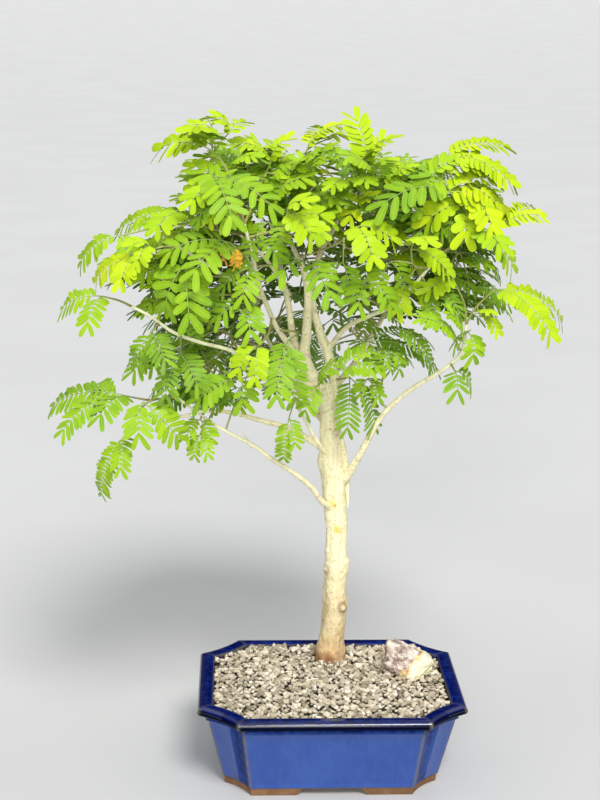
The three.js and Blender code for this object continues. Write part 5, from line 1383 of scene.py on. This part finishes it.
# Leaves of the twigs behind and between the shoots: fork, two tips, leaflet, tone.
TWIG_LEAVES = [
    ([-166, -6, 296], [-206, -30, 274], [-182, 26, 304], 12, 0.45),
    ([-99, -20, 284], [-112, -36, 272], [-89, -30, 266], 9, 0.45),
    ([-99, -22, 274], [-105, -30, 254], [-93, -40, 259], 8, 0.50),
    ([-33, -6, 282], [-38, -10, 246], [-28, -20, 260], 9, 0.40),
    ([-88, -8, 291], [-65, -2, 295], [-76, -24, 309], 9, 0.15),
    ([-73, 4, 467], [-53, 0, 482], [-69, -20, 451], 14, 0.15),
    ([-26, 30, 471], [-39, 20, 451], [-14, 10, 452], 13, 0.20),
    ([4, 24, 472], [-10, 16, 485], [18, 8, 458], 13, 0.15),
    ([-83, -30, 445], [-78, -44, 431], [-95, -50, 433], 10, 0.85),
    ([-87, -34, 444], [-107, -44, 433], [-96, -50, 454], 10, 0.20),
    ([-57, -10, 416], [-69, -24, 396], [-39, -30, 405], 14, 0.35),
    ([-13, 10, 439], [0, -4, 425], [-27, -10, 427], 12, 0.40),
    ([17, 16, 438], [8, 2, 428], [29, 8, 451], 10, 0.95),
    ([70, 8, 435], [98, 0, 411], [58, -14, 416], 14, 0.15),
    ([49, 14, 346], [70, 6, 334], [79, 10, 315], 11, 0.20),
    ([27, 20, 306], [19, 10, 290], [37, 6, 290], 10, 0.50),
    ([44, 12, 329], [54, 8, 309], [34, -4, 316], 11, 0.35),
    ([-88, -4, 481], [-119, 6, 492], [-96, -30, 501], 14, 0.80),
    ([-54, 20, 479], [-72, 16, 491], [-37, 30, 486], 12, 0.60),
    ([-5, 50, 484], [-21, 60, 490], [11, 44, 491], 11, 0.85),
    ([-76, -28, 449], [-102, -30, 475], [-72, -10, 466], 15, 0.45),
    ([-87, -20, 460], [-110, -24, 475], [-101, -34, 463], 13, 0.75),
    ([-96, 12, 380], [-103, 0, 335], [-89, 2, 347], 11, 0.30),
    ([3, -6, 317], [32, -4, 337], [38, -14, 323], 12, 0.40),
    ([-71, 4, 296], [-95, 0, 285], [-71, -8, 287], 9, 0.50),
    ([87, 0, 471], [121, 0, 465], [139, 6, 457], 14, 0.90),
    ([80, -8, 451], [111, -4, 461], [125, -12, 437], 15, 0.90),
    ([67, -4, 433], [47, -14, 442], [85, -10, 419], 14, 0.45),
    ([-10, 10, 446], [-28, -6, 442], [7, -4, 445], 13, 0.55),
    ([6, 0, 398], [-13, -16, 380], [12, -14, 368], 14, 0.35),
    ([-49, 6, 427], [-66, -4, 406], [-35, -8, 404], 13, 0.45),
    ([41, 0, 399], [27, -8, 372], [55, -10, 375], 13, 0.45),
    ([67, -2, 457], [88, -4, 480], [91, -10, 456], 15, 0.60),
    ([89, -2, 455], [121, -6, 463], [125, -14, 440], 15, 0.98),
    ([81, 8, 467], [106, 6, 482], [100, 0, 469], 13, 0.92),
    ([86, 0, 436], [107, -8, 422], [81, -8, 418], 12, 0.50),
    ([50, 0, 450], [45, 6, 473], [69, 2, 473], 14, 0.50),
    ([24, 34, 456], [37, 30, 493], [44, 22, 477], 12, 0.88),
    ([24, 20, 433], [0, 10, 457], [12, 14, 460], 12, 0.70),
]


# %% Find what is near
def feet_on(lines, places):
    """The nearest points of every span of some lines to each of some places, and how far."""
    starts = np.vstack([line[:-1] for line in lines])
    spans = np.vstack([line[1:] for line in lines]) - starts
    offset = places[:, None] - starts
    share = np.einsum("pnc,nc->pn", offset, spans) / np.einsum("nc,nc->n", spans, spans)
    feet = starts + np.clip(share, 0, 1)[..., None] * spans
    return feet, np.linalg.norm(feet - places[:, None], axis=2)


def nearest_on(lines, place):
    """The point of some lines, each an array of points, that is nearest to a place."""
    feet, distance = feet_on(lines, np.asarray(place, float)[None])
    return feet[0, np.argmin(distance[0])]


# %% [markdown]
# Where the picture shows leaves that can't be told apart, and behind, sprays of three leaves
# fill the crown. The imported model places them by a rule, and the same rule with the same draws
# finds them again here: a spray is tried at a random place in the crown's dome, and kept when it
# stays clear of the opening before the forks, of the branches and of all other leaves.

# %% Place the sprays
SPRAYS = 11
SPRAY_TRIES = 6000
SPRAY_SEED = 26
SPRAY_LEAVES = [[1, 0], [0.6, 1], [0.25, -1]]
SPRAY_TURN = 1.05
SPRAY_STALK = 9.0
SPRAY_LEAFLET = 13.0
SPRAY_ROOT = 0.62
STEM_RISE = 8.0
LONGEST_SPRAY = 75.0
FEATHER_REACH = 38.0
HALF_SPREAD = 0.55
OUTWARD_TILT = 0.3
OUTWARD_DROP = 0.2
DOME_MIDDLE = np.array([-14.0, 46.0, 350.0])
DOME_REACH = np.array([124.0, 92.0, 104.0])
DOME_LOW = -0.55
DOME_HIGH = 0.95
DOME_DEPTH = 0.7
LEAF_ROOM = 15.0
STEM_ROOM = 9.0
WOOD_ROOM = 5.0
TESTED_SHARES = [0, 0.33, 0.67, 1]
OPENING = np.array([[-52.0, -200.0, 262.0], [38.0, 62.0, 405.0]])


def seeded_draws(seed):
    """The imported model's draws: state = (state x 1664525 + 1013904223) mod 2^32."""
    state = seed
    while True:
        state = (state * 1664525 + 1013904223) % 4294967296
        yield state / 4294967296


def shoot_lines(stem, leaves, wood):
    """The straight lines of a shoot: its stem and stalks, and the ribs of its feathers."""
    points = np.array([*stem, leaves[0][0]], float)
    main = np.vstack([nearest_on(wood, points[0]), points])
    stalks = [np.array([nearest_on([main], leaf[0]), leaf[0]]) for leaf in leaves[1:]]
    ribs = [np.array([leaf[0], tip], float) for leaf in leaves for tip in leaf[1:3]]
    return [main, *stalks], ribs


def try_spray(draws):
    """A spray at a random place in the dome, in the form of a row of shoots."""
    turn = 2 * math.pi * next(draws)
    rise = DOME_LOW + (DOME_HIGH - DOME_LOW) * next(draws)
    depth = DOME_DEPTH + (1 - DOME_DEPTH) * next(draws)
    level = math.sqrt(1 - rise * rise)
    way = np.array([level * math.cos(turn), level * math.sin(turn), rise])
    end = DOME_MIDDLE + way * DOME_REACH * depth
    middle = DOME_MIDDLE + (end - DOME_MIDDLE) * SPRAY_ROOT + [0, 0, STEM_RISE]
    leaves = []
    for share, side in SPRAY_LEAVES:
        angle = turn + side * SPRAY_TURN
        out = unit(np.array([math.cos(angle), math.sin(angle), OUTWARD_TILT * rise - OUTWARD_DROP]))
        across = np.array([math.sin(angle), -math.cos(angle), 0])
        fork = middle + (end - middle) * share + out * (SPRAY_STALK if side else 0)
        reach = FEATHER_REACH * math.cos(HALF_SPREAD) * out
        aside = FEATHER_REACH * math.sin(HALF_SPREAD) * across
        leaves.append((fork, fork + reach + aside, fork + reach - aside, SPRAY_LEAFLET))
    return 0.5 + 0.45 * rise, [middle], leaves


def points_on(lines):
    """Points spread along some lines, for the tests of what is near."""
    share = np.array(TESTED_SHARES)[:, None]
    return np.vstack([a + (b - a) * share for line in lines for a, b in zip(line[:-1], line[1:])])


def choose_sprays(branches):
    """The first of many tried sprays that fit, with their names."""
    draws = seeded_draws(SPRAY_SEED)
    stems, ribs, chosen = [], [], []
    for _, _, stem, leaves in SHOOTS:
        more_stems, more_ribs = shoot_lines(stem, leaves, branches)
        stems, ribs = stems + more_stems, ribs + more_ribs
    for _ in range(SPRAY_TRIES):
        tone, stem, leaves = try_spray(draws)
        own_stems, own_ribs = shoot_lines(stem, leaves, branches)
        rib_points, stem_points = points_on(own_ribs), points_on(own_stems)
        every = np.vstack([rib_points, stem_points])
        fits = (
            np.linalg.norm(own_stems[0][2] - own_stems[0][0]) < LONGEST_SPRAY
            and not ((every >= OPENING[0]) & (every <= OPENING[1])).all(1).any()
            and feet_on(ribs, rib_points)[1].min() > LEAF_ROOM
            and feet_on(stems, rib_points)[1].min() > STEM_ROOM
            and feet_on(ribs, stem_points)[1].min() > STEM_ROOM
            and feet_on(branches, rib_points)[1].min() > WOOD_ROOM
        )
        if fits:
            stems, ribs = stems + own_stems, ribs + own_ribs
            chosen.append((f"crown_spray_{len(chosen) + 1:02d}", tone, stem, leaves))
        if len(chosen) == SPRAYS:
            break
    return chosen


wood_lines = [np.array(rows, float)[:, :3] for rows in [TRUNK, *BRANCHES]]
sprays = choose_sprays(wood_lines[1:])
print("sprays", [(name, round(tone, 3)) for name, tone, _, _ in sprays])


# %% Grow the shoots
STEM_SIDES = 7
STALK_SIDES = 6
STALK_STEPS = 9


def add_stem(shape, rows, thick, thin, tone, steps=6):
    """A stem through some points, tapering, with a joint where each leaf stood."""
    path = spline(rows, steps)
    share = np.linspace(0, 1, len(path))
    radius = thick + (thin - thick) * share
    age = np.clip(1.2 - share, 0, 1)
    paint = np.stack([0 * share + tone, 0.6 * age, 0 * share, 0 * share], -1)
    add_tubes(shape, path[None], radius[None], STEM_SIDES, paint[None], finish=1)


def add_stalk(shape, start, fork, rise, thick, thin, tone, age):
    """A stalk from start to fork that bows upwards by a share of its length, and tapers."""
    control = (start + fork) / 2 + np.array([0, 0, rise * np.linalg.norm(fork - start)])
    path = bezier(start, control, fork, np.linspace(0, 1, STALK_STEPS))
    radii = np.linspace(thick, thin, STALK_STEPS)
    add_tubes(shape, path[None], radii[None], STALK_SIDES, [tone, age, 0, 0], finish=1)


def own_draws(fork, factor):
    """Draws of a leaf's or shoot's own, so that a change to one leaves the others as they are."""
    return np.random.default_rng(abs(int(fork[0])) * factor + abs(int(fork[2])))


def add_shoot(shape, stem, leaves, tone, wood_lines, random):
    """Stem, leafstalks and leaves of one shoot."""
    points = [np.array(point, float) for point in [*stem, leaves[0][0]]]
    rows = np.array([nearest_on(wood_lines, points[0]), *points])
    add_stem(shape, rows, 1.0, 0.6, tone)
    count = 0
    for number, leaf in enumerate(leaves):
        fork = np.array(leaf[0], float)
        if number > 0:
            add_stalk(shape, nearest_on([rows], fork), fork, 0.08, 0.6, 0.45, tone, 0.3)
        count += add_leaf(shape, leaf, tone, random)
    return count, rows


# %% [markdown]
# Leaf colour runs from deep green to yellow-green with the leaf's tone. Real leaflets have a
# paler middle vein, a thin light edge and a grey-green underside, and none is quite one colour.
# The paint carries all of this along each leaflet, so one material serves the whole crown.

# %% Leaf and stem finishes
def make_leaf_finish():
    """Tone sets the colour; vein, edge, underside and mottling change it."""
    material, tree, _, place, paint = new_finish("leaflet", 0.34, Specular_IOR_Level=0.08)
    tone, edge, under, _ = channels(tree, paint)
    colour = ramp(tree, tone, [
        (0.0, (0.115, 0.24, 0.024)), (0.3, (0.19, 0.38, 0.018)), (0.6, (0.32, 0.53, 0.008)),
        (0.85, (0.45, 0.63, 0.008)), (1.0, (0.60, 0.72, 0.008)),
    ])
    patches = mottled(tree, place, 120.0, 0.3, 0.7)
    vein = math_node(tree, "LESS_THAN", edge, 0.10)
    rim = math_node(tree, "GREATER_THAN", edge, 0.90)
    below = math_node(tree, "GREATER_THAN", under, 0.55)
    for mask, amount, tint in (
        (patches, 0.2, (0.42, 0.60, 0.03, 1)), (vein, 0.22, (0.62, 0.74, 0.22, 1)),
        (rim, 0.22, (0.62, 0.74, 0.18, 1)), (below, 0.35, (0.28, 0.43, 0.07, 1)),
    ):
        colour = tinted(tree, colour, mask, amount, tint)
    return finished(material, colour, place, 700.0, 0.12, 0.0002)


def make_stem_finish():
    """Green-yellow young stalks that turn red-brown and then pale where they are older."""
    material, tree, _, place, paint = new_finish("young stem", 0.5)
    tone, old, _, _ = channels(tree, paint)
    young = mix(tree, tone, (0.20, 0.34, 0.08, 1), (0.50, 0.60, 0.12, 1))
    aged = mix(tree, mottled(tree, place, 220.0), (0.30, 0.17, 0.08, 1), (0.46, 0.34, 0.18, 1))
    return finished(material, mix(tree, old, young, aged), place, 600.0, 0.2, 0.0003)


def make_withered_finish():
    """Dry leaflets are orange with brown patches."""
    material, tree, _, place, _ = new_finish("withered leaflet", 0.6)
    patches = mottled(tree, place, 300.0, 0.45, 0.7)
    colour = mix(tree, patches, (1.0, 0.55, 0.03, 1), (0.70, 0.30, 0.03, 1))
    return finished(material, colour, place, 700.0, 0.2, 0.0003)


# %% Make the crown
LEAF_FINISHES = [make_leaf_finish(), make_stem_finish()]
WITHERED_LEAF = ([-77, -34, 413], [-84, -34, 402], [-72, -36, 397], 7)
WITHERED_TONE = 0.9
WITHERED_SEED = 11
OLD_BELOW = 0.3
NEW_FROM = 0.65


def leaf_slot(tone):
    """The group, leaf_old, leaf_mid or leaf_new, of a leaf of this tone."""
    return "leaf_old" if tone < OLD_BELOW else "leaf_mid" if tone < NEW_FROM else "leaf_new"


def grow_shoots():
    """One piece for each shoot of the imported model, which it replaces."""
    stems, total = [], 0
    for name in dict.fromkeys(row[0] for row in SHOOTS + sprays):
        shape = Shape()
        together = [row for row in SHOOTS + sprays if row[0] == name]
        for _, tone, stem, leaves in together:
            count, rows = add_shoot(shape, stem, leaves, tone, wood_lines, own_draws(leaves[0][0], 7))
            stems.append(rows)
            total += count
        piece = shape.make("leaves_of_" + name, LEAF_FINISHES, leaf_slot(together[0][1]), sharp=50)
        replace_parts(piece, name)
    return stems, total


def grow_twig_leaves(stems):
    """The leaves between the shoots, each on a stalk from the nearest stem or branch."""
    shapes, total = {}, 0
    for fork, first, second, leaflet, tone in TWIG_LEAVES:
        shape = shapes.setdefault(leaf_slot(tone), Shape())
        place = np.array(fork, float)
        start = nearest_on(wood_lines + stems, place)
        add_stalk(shape, start, place, 0.1, 0.75, 0.45, tone, 0.35)
        total += add_leaf(shape, (fork, first, second, leaflet), tone, own_draws(fork, 3))
    for slot, shape in shapes.items():
        shape.make("twig_leaves_" + slot, LEAF_FINISHES, slot, sharp=50)
    return total


def grow_withered_leaf(stems):
    """One small leaf that has dried up, on a stalk like the others."""
    shape = Shape()
    place = np.array(WITHERED_LEAF[0], float)
    start = nearest_on(wood_lines + stems, place)
    add_stalk(shape, start, place, 0.1, 0.6, 0.4, 0.5, 0.7)
    add_leaf(shape, WITHERED_LEAF, WITHERED_TONE, np.random.default_rng(WITHERED_SEED))
    shape.make("withered_leaf", [make_withered_finish(), LEAF_FINISHES[1]], "leaf_new", sharp=50)


shoot_stems, shoot_leaflets = grow_shoots()
twig_leaflets = grow_twig_leaves(shoot_stems)
grow_withered_leaf(shoot_stems)
print("leaflets", shoot_leaflets + twig_leaflets)

# %% [markdown]
# The crown is dense all round, and most of its leaves can't be told apart in the picture. They
# grow here by a rule. A place in the crown is tried at random. It is kept where it lies in the
# crown's dome and inside its outline as the camera sees it, behind the leaves that were read,
# clear of all other forks, and near enough to a branch for a thin twig. The leaf there reaches
# outwards, hangs a little low down and lifts high up. Leaves are young and yellow at the top
# and the outside, older inside.

# %% Fill the crown by a rule
CROWN_OUTLINE = np.array([
    [-137, 476], [-100, 493], [-25, 482], [12, 492], [46, 480], [88, 483], [126, 476], [142, 446],
    [136, 410], [129, 375], [150, 354], [92, 340], [53, 352], [40, 322], [20, 318], [-8, 292],
    [-30, 285], [-47, 276], [-89, 291], [-101, 262], [-147, 262], [-143, 285], [-139, 330], [-165, 345],
    [-185, 355], [-176, 401], [-153, 435],
])
OUTLINE_PLANE = 40.0
FILL_MIDDLE = np.array([-18.0, 46.0, 345.0])
FILL_REACH = np.array([172.0, 112.0, 140.0])
WINDOW = np.array([[-66.0, 262.0], [30.0, 412.0]])
WINDOW_BACK = 84.0
FORK_ROOM = 12.0
TWIG_REACH = 36.0
SHORTEST_TWIG = 4.0
FILL_TRIES = 24000
FILL_LEAVES = 270
FILL_SEED = 2024
LEAFLET_SEED = 5
BACK_FROM = 75.0
BOX_MARGIN = np.array([12.0, 12.0, 8.0])
# Heights, and how far to the front a leaf may reach at each, behind the leaves that were read.
FRONT_HEIGHTS = [300, 400, 450]
FRONT_LIMITS = [40, 8, -30]


def seen_on_plane(place):
    """Where the line from the camera through a place meets the trunk's plane, as x and z."""
    share = (OUTLINE_PLANE - CAMERA_PLACE[1]) / (place[..., 1:2] - CAMERA_PLACE[1])
    return (CAMERA_PLACE + (place - CAMERA_PLACE) * share)[..., [0, 2]]


def inside_outline(spots):
    """Even-odd test: a spot is inside when a level ray from it crosses the outline oddly often."""
    start, end = CROWN_OUTLINE, np.roll(CROWN_OUTLINE, -1, 0)
    crosses = (start[:, 1] > spots[:, None, 1]) != (end[:, 1] > spots[:, None, 1])
    rise = np.where(start[:, 1] == end[:, 1], 1, end[:, 1] - start[:, 1])
    meets = start[:, 0] + (spots[:, None, 1] - start[:, 1]) / rise * (end - start)[:, 0]
    return (crosses & (meets > spots[:, None, 0])).sum(1) % 2 == 1


def try_leaf(random):
    """A fork, the tips of its two feathers and a leaflet's length, at a random place."""
    direction = unit(random.normal(size=3) * [1, 1, 0.9])
    depth = random.uniform(0.35, 1.0)**0.6
    fork = FILL_MIDDLE + direction * depth * FILL_REACH
    leaflet = random.uniform(10, 14)
    high = (fork[2] - 300) / 180
    out = unit(unit((fork - FILL_MIDDLE) / FILL_REACH) * [1, 0.7, 0.4] + random.normal(0, 0.3, 3)
               + [0, 0, np.interp(high, [0, 0.5, 1], [-0.3, 0.05, 0.55])])
    across = unit(np.cross(out, [0, 0, 1]) + random.normal(0, 0.2, 3))
    spread = math.radians(random.uniform(22, 36))
    size = leaflet * random.uniform(2.8, 3.8)
    tips = [fork + size * (math.cos(spread) * out + way * math.sin(spread) * across) for way in (-1, 1)]
    tone = 0.12 + 0.42 * high + 0.25 * (depth - 0.6) + random.normal(0, 0.14)
    return fork, tips[0], tips[1], leaflet, np.clip(tone, 0.04, 0.96)


def choose_leaves(lines, taken, low, high):
    """The tried leaves that fit: in the outline and the box, off the others, near some wood."""
    random = np.random.default_rng(FILL_SEED)
    kept = []
    for _ in range(FILL_TRIES):
        leaf = try_leaf(random)
        points = np.array(leaf[:3])
        spots = seen_on_plane(points)
        in_window = ((spots > WINDOW[0]) & (spots < WINDOW[1])).all(1).any()
        in_window = in_window and leaf[0][1] < WINDOW_BACK
        in_box = (points > low).all() and (points < high).all()
        in_front = points[:, 1].min() < np.interp(leaf[0][2], FRONT_HEIGHTS, FRONT_LIMITS)
        if in_window or in_front or not in_box or not inside_outline(spots).all():
            continue
        if min(np.linalg.norm(np.array(taken) - leaf[0], axis=1)) < FORK_ROOM:
            continue
        start = nearest_on(lines, leaf[0])
        if not SHORTEST_TWIG < np.linalg.norm(start - leaf[0]) < TWIG_REACH:
            continue
        taken.append(leaf[0])
        kept.append((leaf, start))
        if len(kept) == FILL_LEAVES:
            break
    return kept


def grow_fill(lines):
    """Adds the chosen leaves, gathered by slot and by the part of the crown they stand in."""
    low = (np.array(cad_box[0]) - POT_MIDDLE) / MM + BOX_MARGIN
    high = (np.array(cad_box[1]) - POT_MIDDLE) / MM - BOX_MARGIN
    taken = [np.array(leaf[0], float) for row in SHOOTS + sprays for leaf in row[3]]
    taken += [np.array(row[0], float) for row in TWIG_LEAVES]
    shapes, total = {}, 0
    random = np.random.default_rng(LEAFLET_SEED)
    kept = choose_leaves(lines, taken, low, high)
    for leaf, start in kept:
        fork, tone = leaf[0], leaf[4]
        part = "back" if fork[1] > BACK_FROM else "left" if fork[0] < FILL_MIDDLE[0] else "right"
        name = f"crown_leaves_{part}_{leaf_slot(tone)[5:]}"
        shape = shapes.setdefault((name, leaf_slot(tone)), Shape())
        add_stalk(shape, start, fork, 0.12, 0.85, 0.45, tone, 0.45)
        total += add_leaf(shape, leaf[:4], tone, random)
    for (name, slot), shape in shapes.items():
        shape.make(name, LEAF_FINISHES, slot, sharp=50)
    return len(kept), total


print("fill leaves and leaflets", grow_fill(wood_lines + shoot_stems))

# %% [markdown]
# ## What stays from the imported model
# The soil and the two drain screens are plain shapes that hardly show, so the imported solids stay
# and only get a finish: dark crumbly soil, and black plastic mesh with a faint weave.

# %% Finish the soil and the screens
def make_mesh_plastic():
    """Black plastic with two crossing sets of fine ridges."""
    material, tree, shader, place, _ = new_finish("black plastic mesh", 0.55)
    waves = [add_node(tree, "TexWave", {"Vector": place, "Scale": 300.0}, bands_direction=axis)
             for axis in "XY"]
    height = math_node(tree, "MAXIMUM", *(wave.outputs["Fac"] for wave in waves))
    bump = add_node(tree, "Bump", {"Strength": 0.4, "Distance": 0.0004, "Height": height})
    set_inputs(tree, shader, {
        "Base Color": mix(tree, height, (0.008, 0.008, 0.008, 1), (0.035, 0.035, 0.038, 1)),
        "Normal": bump.outputs[0],
    })
    return material


def dress_node(name, material):
    """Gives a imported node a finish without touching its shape."""
    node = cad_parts[name]
    node.data.materials.clear()
    node.data.materials.append(material)


dress_node("soil", make_earth("dark soil", (0.035, 0.022, 0.014), (0.10, 0.065, 0.04), 160.0))
mesh_plastic = make_mesh_plastic()
for name in ("drain_screen_left", "drain_screen_right"):
    dress_node(name, mesh_plastic)

# %% [markdown]
# ## Floor and light
# The part stands on a plain pale floor that runs far back and curls up at its end, so that no
# horizon shows. The main light comes from high in front and a little to the right, with soft
# edges, and a weaker one fills from close beside the camera. The sky is dim, because the glaze
# mirrors it: the pot's rim is near black in the picture.

# %% Floor, lamps and sky
FLOOR_RADIUS = 40.0
FLOOR_FLAT = 8.0
FLOOR_CURL = 2.0
FLOOR_SIDES = 48


def make_floor():
    """Rings round the feet. Height = curl x (share of the way out past FLOOR_FLAT) squared."""
    radius = np.concatenate([[0, 1, 2, 4, 6], np.linspace(FLOOR_FLAT, FLOOR_RADIUS, 33)])
    angle = round_angles(FLOOR_SIDES)
    rise = np.clip((radius - FLOOR_FLAT) / (FLOOR_RADIUS - FLOOR_FLAT), 0, 1)
    points = np.stack(np.broadcast_arrays(
        radius[:, None] * np.cos(angle), radius[:, None] * np.sin(angle),
        (FLOOR_CURL * rise**2)[:, None]), -1)
    mesh = bpy.data.meshes.new("floor")
    faces = grid_faces(len(radius), FLOOR_SIDES, wrap=True)[FLOOR_SIDES:, ::-1]
    middle = [[0, FLOOR_SIDES + k, FLOOR_SIDES + (k + 1) % FLOOR_SIDES] for k in range(FLOOR_SIDES)]
    mesh.from_pydata(points.reshape(-1, 3).tolist(), [], faces.tolist() + middle)
    floor = new_object("floor", mesh)
    material, tree, shader, place, _ = new_finish("pale floor", 0.9)
    colour = mix(tree, mottled(tree, place, 3.0), (0.60, 0.60, 0.59, 1), (0.62, 0.62, 0.61, 1))
    tree.links.new(colour, shader.inputs["Base Color"])
    mesh.materials.append(material)


def add_sun(name, towards, softness, power):
    """A distant light; `towards` points from the part to the light."""
    data = bpy.data.lights.new(name, "SUN")
    data.angle = math.radians(softness)
    data.energy = power
    lamp = new_object(name, data)
    lamp.rotation_euler = Vector(towards).to_track_quat("Z", "Y").to_euler()


def make_sky():
    """Dim grey, a little lighter overhead: the sky's colour follows the world's Z direction."""
    world = bpy.data.worlds.new("studio")
    world.use_nodes = True
    tree = world.node_tree
    direction = add_node(tree, "TexCoord").outputs["Generated"]
    up = add_node(tree, "SeparateXYZ", {0: direction}).outputs[2]
    limits = add_node(tree, "MapRange", {"Value": up, "From Min": 0.45, "From Max": 0.9},
                      interpolation_type="SMOOTHSTEP")
    colour = mix(tree, limits.outputs[0], (0.035, 0.036, 0.04, 1), (0.95, 0.97, 1.0, 1))
    tree.links.new(colour, tree.nodes["Background"].inputs["Color"])
    bpy.context.scene.world = world


make_floor()
make_sky()
add_sun("key_light", (0.22, -0.80, 0.88), 20, 2.45)
add_sun("fill_light", (-0.12, -1.0, 0.36), 25, 1.4)
bpy.context.scene.view_settings.view_transform = "Standard"

# %% Print the imported model's box
print("packed box", [[round(v, 4) for v in corner] for corner in cad_box])
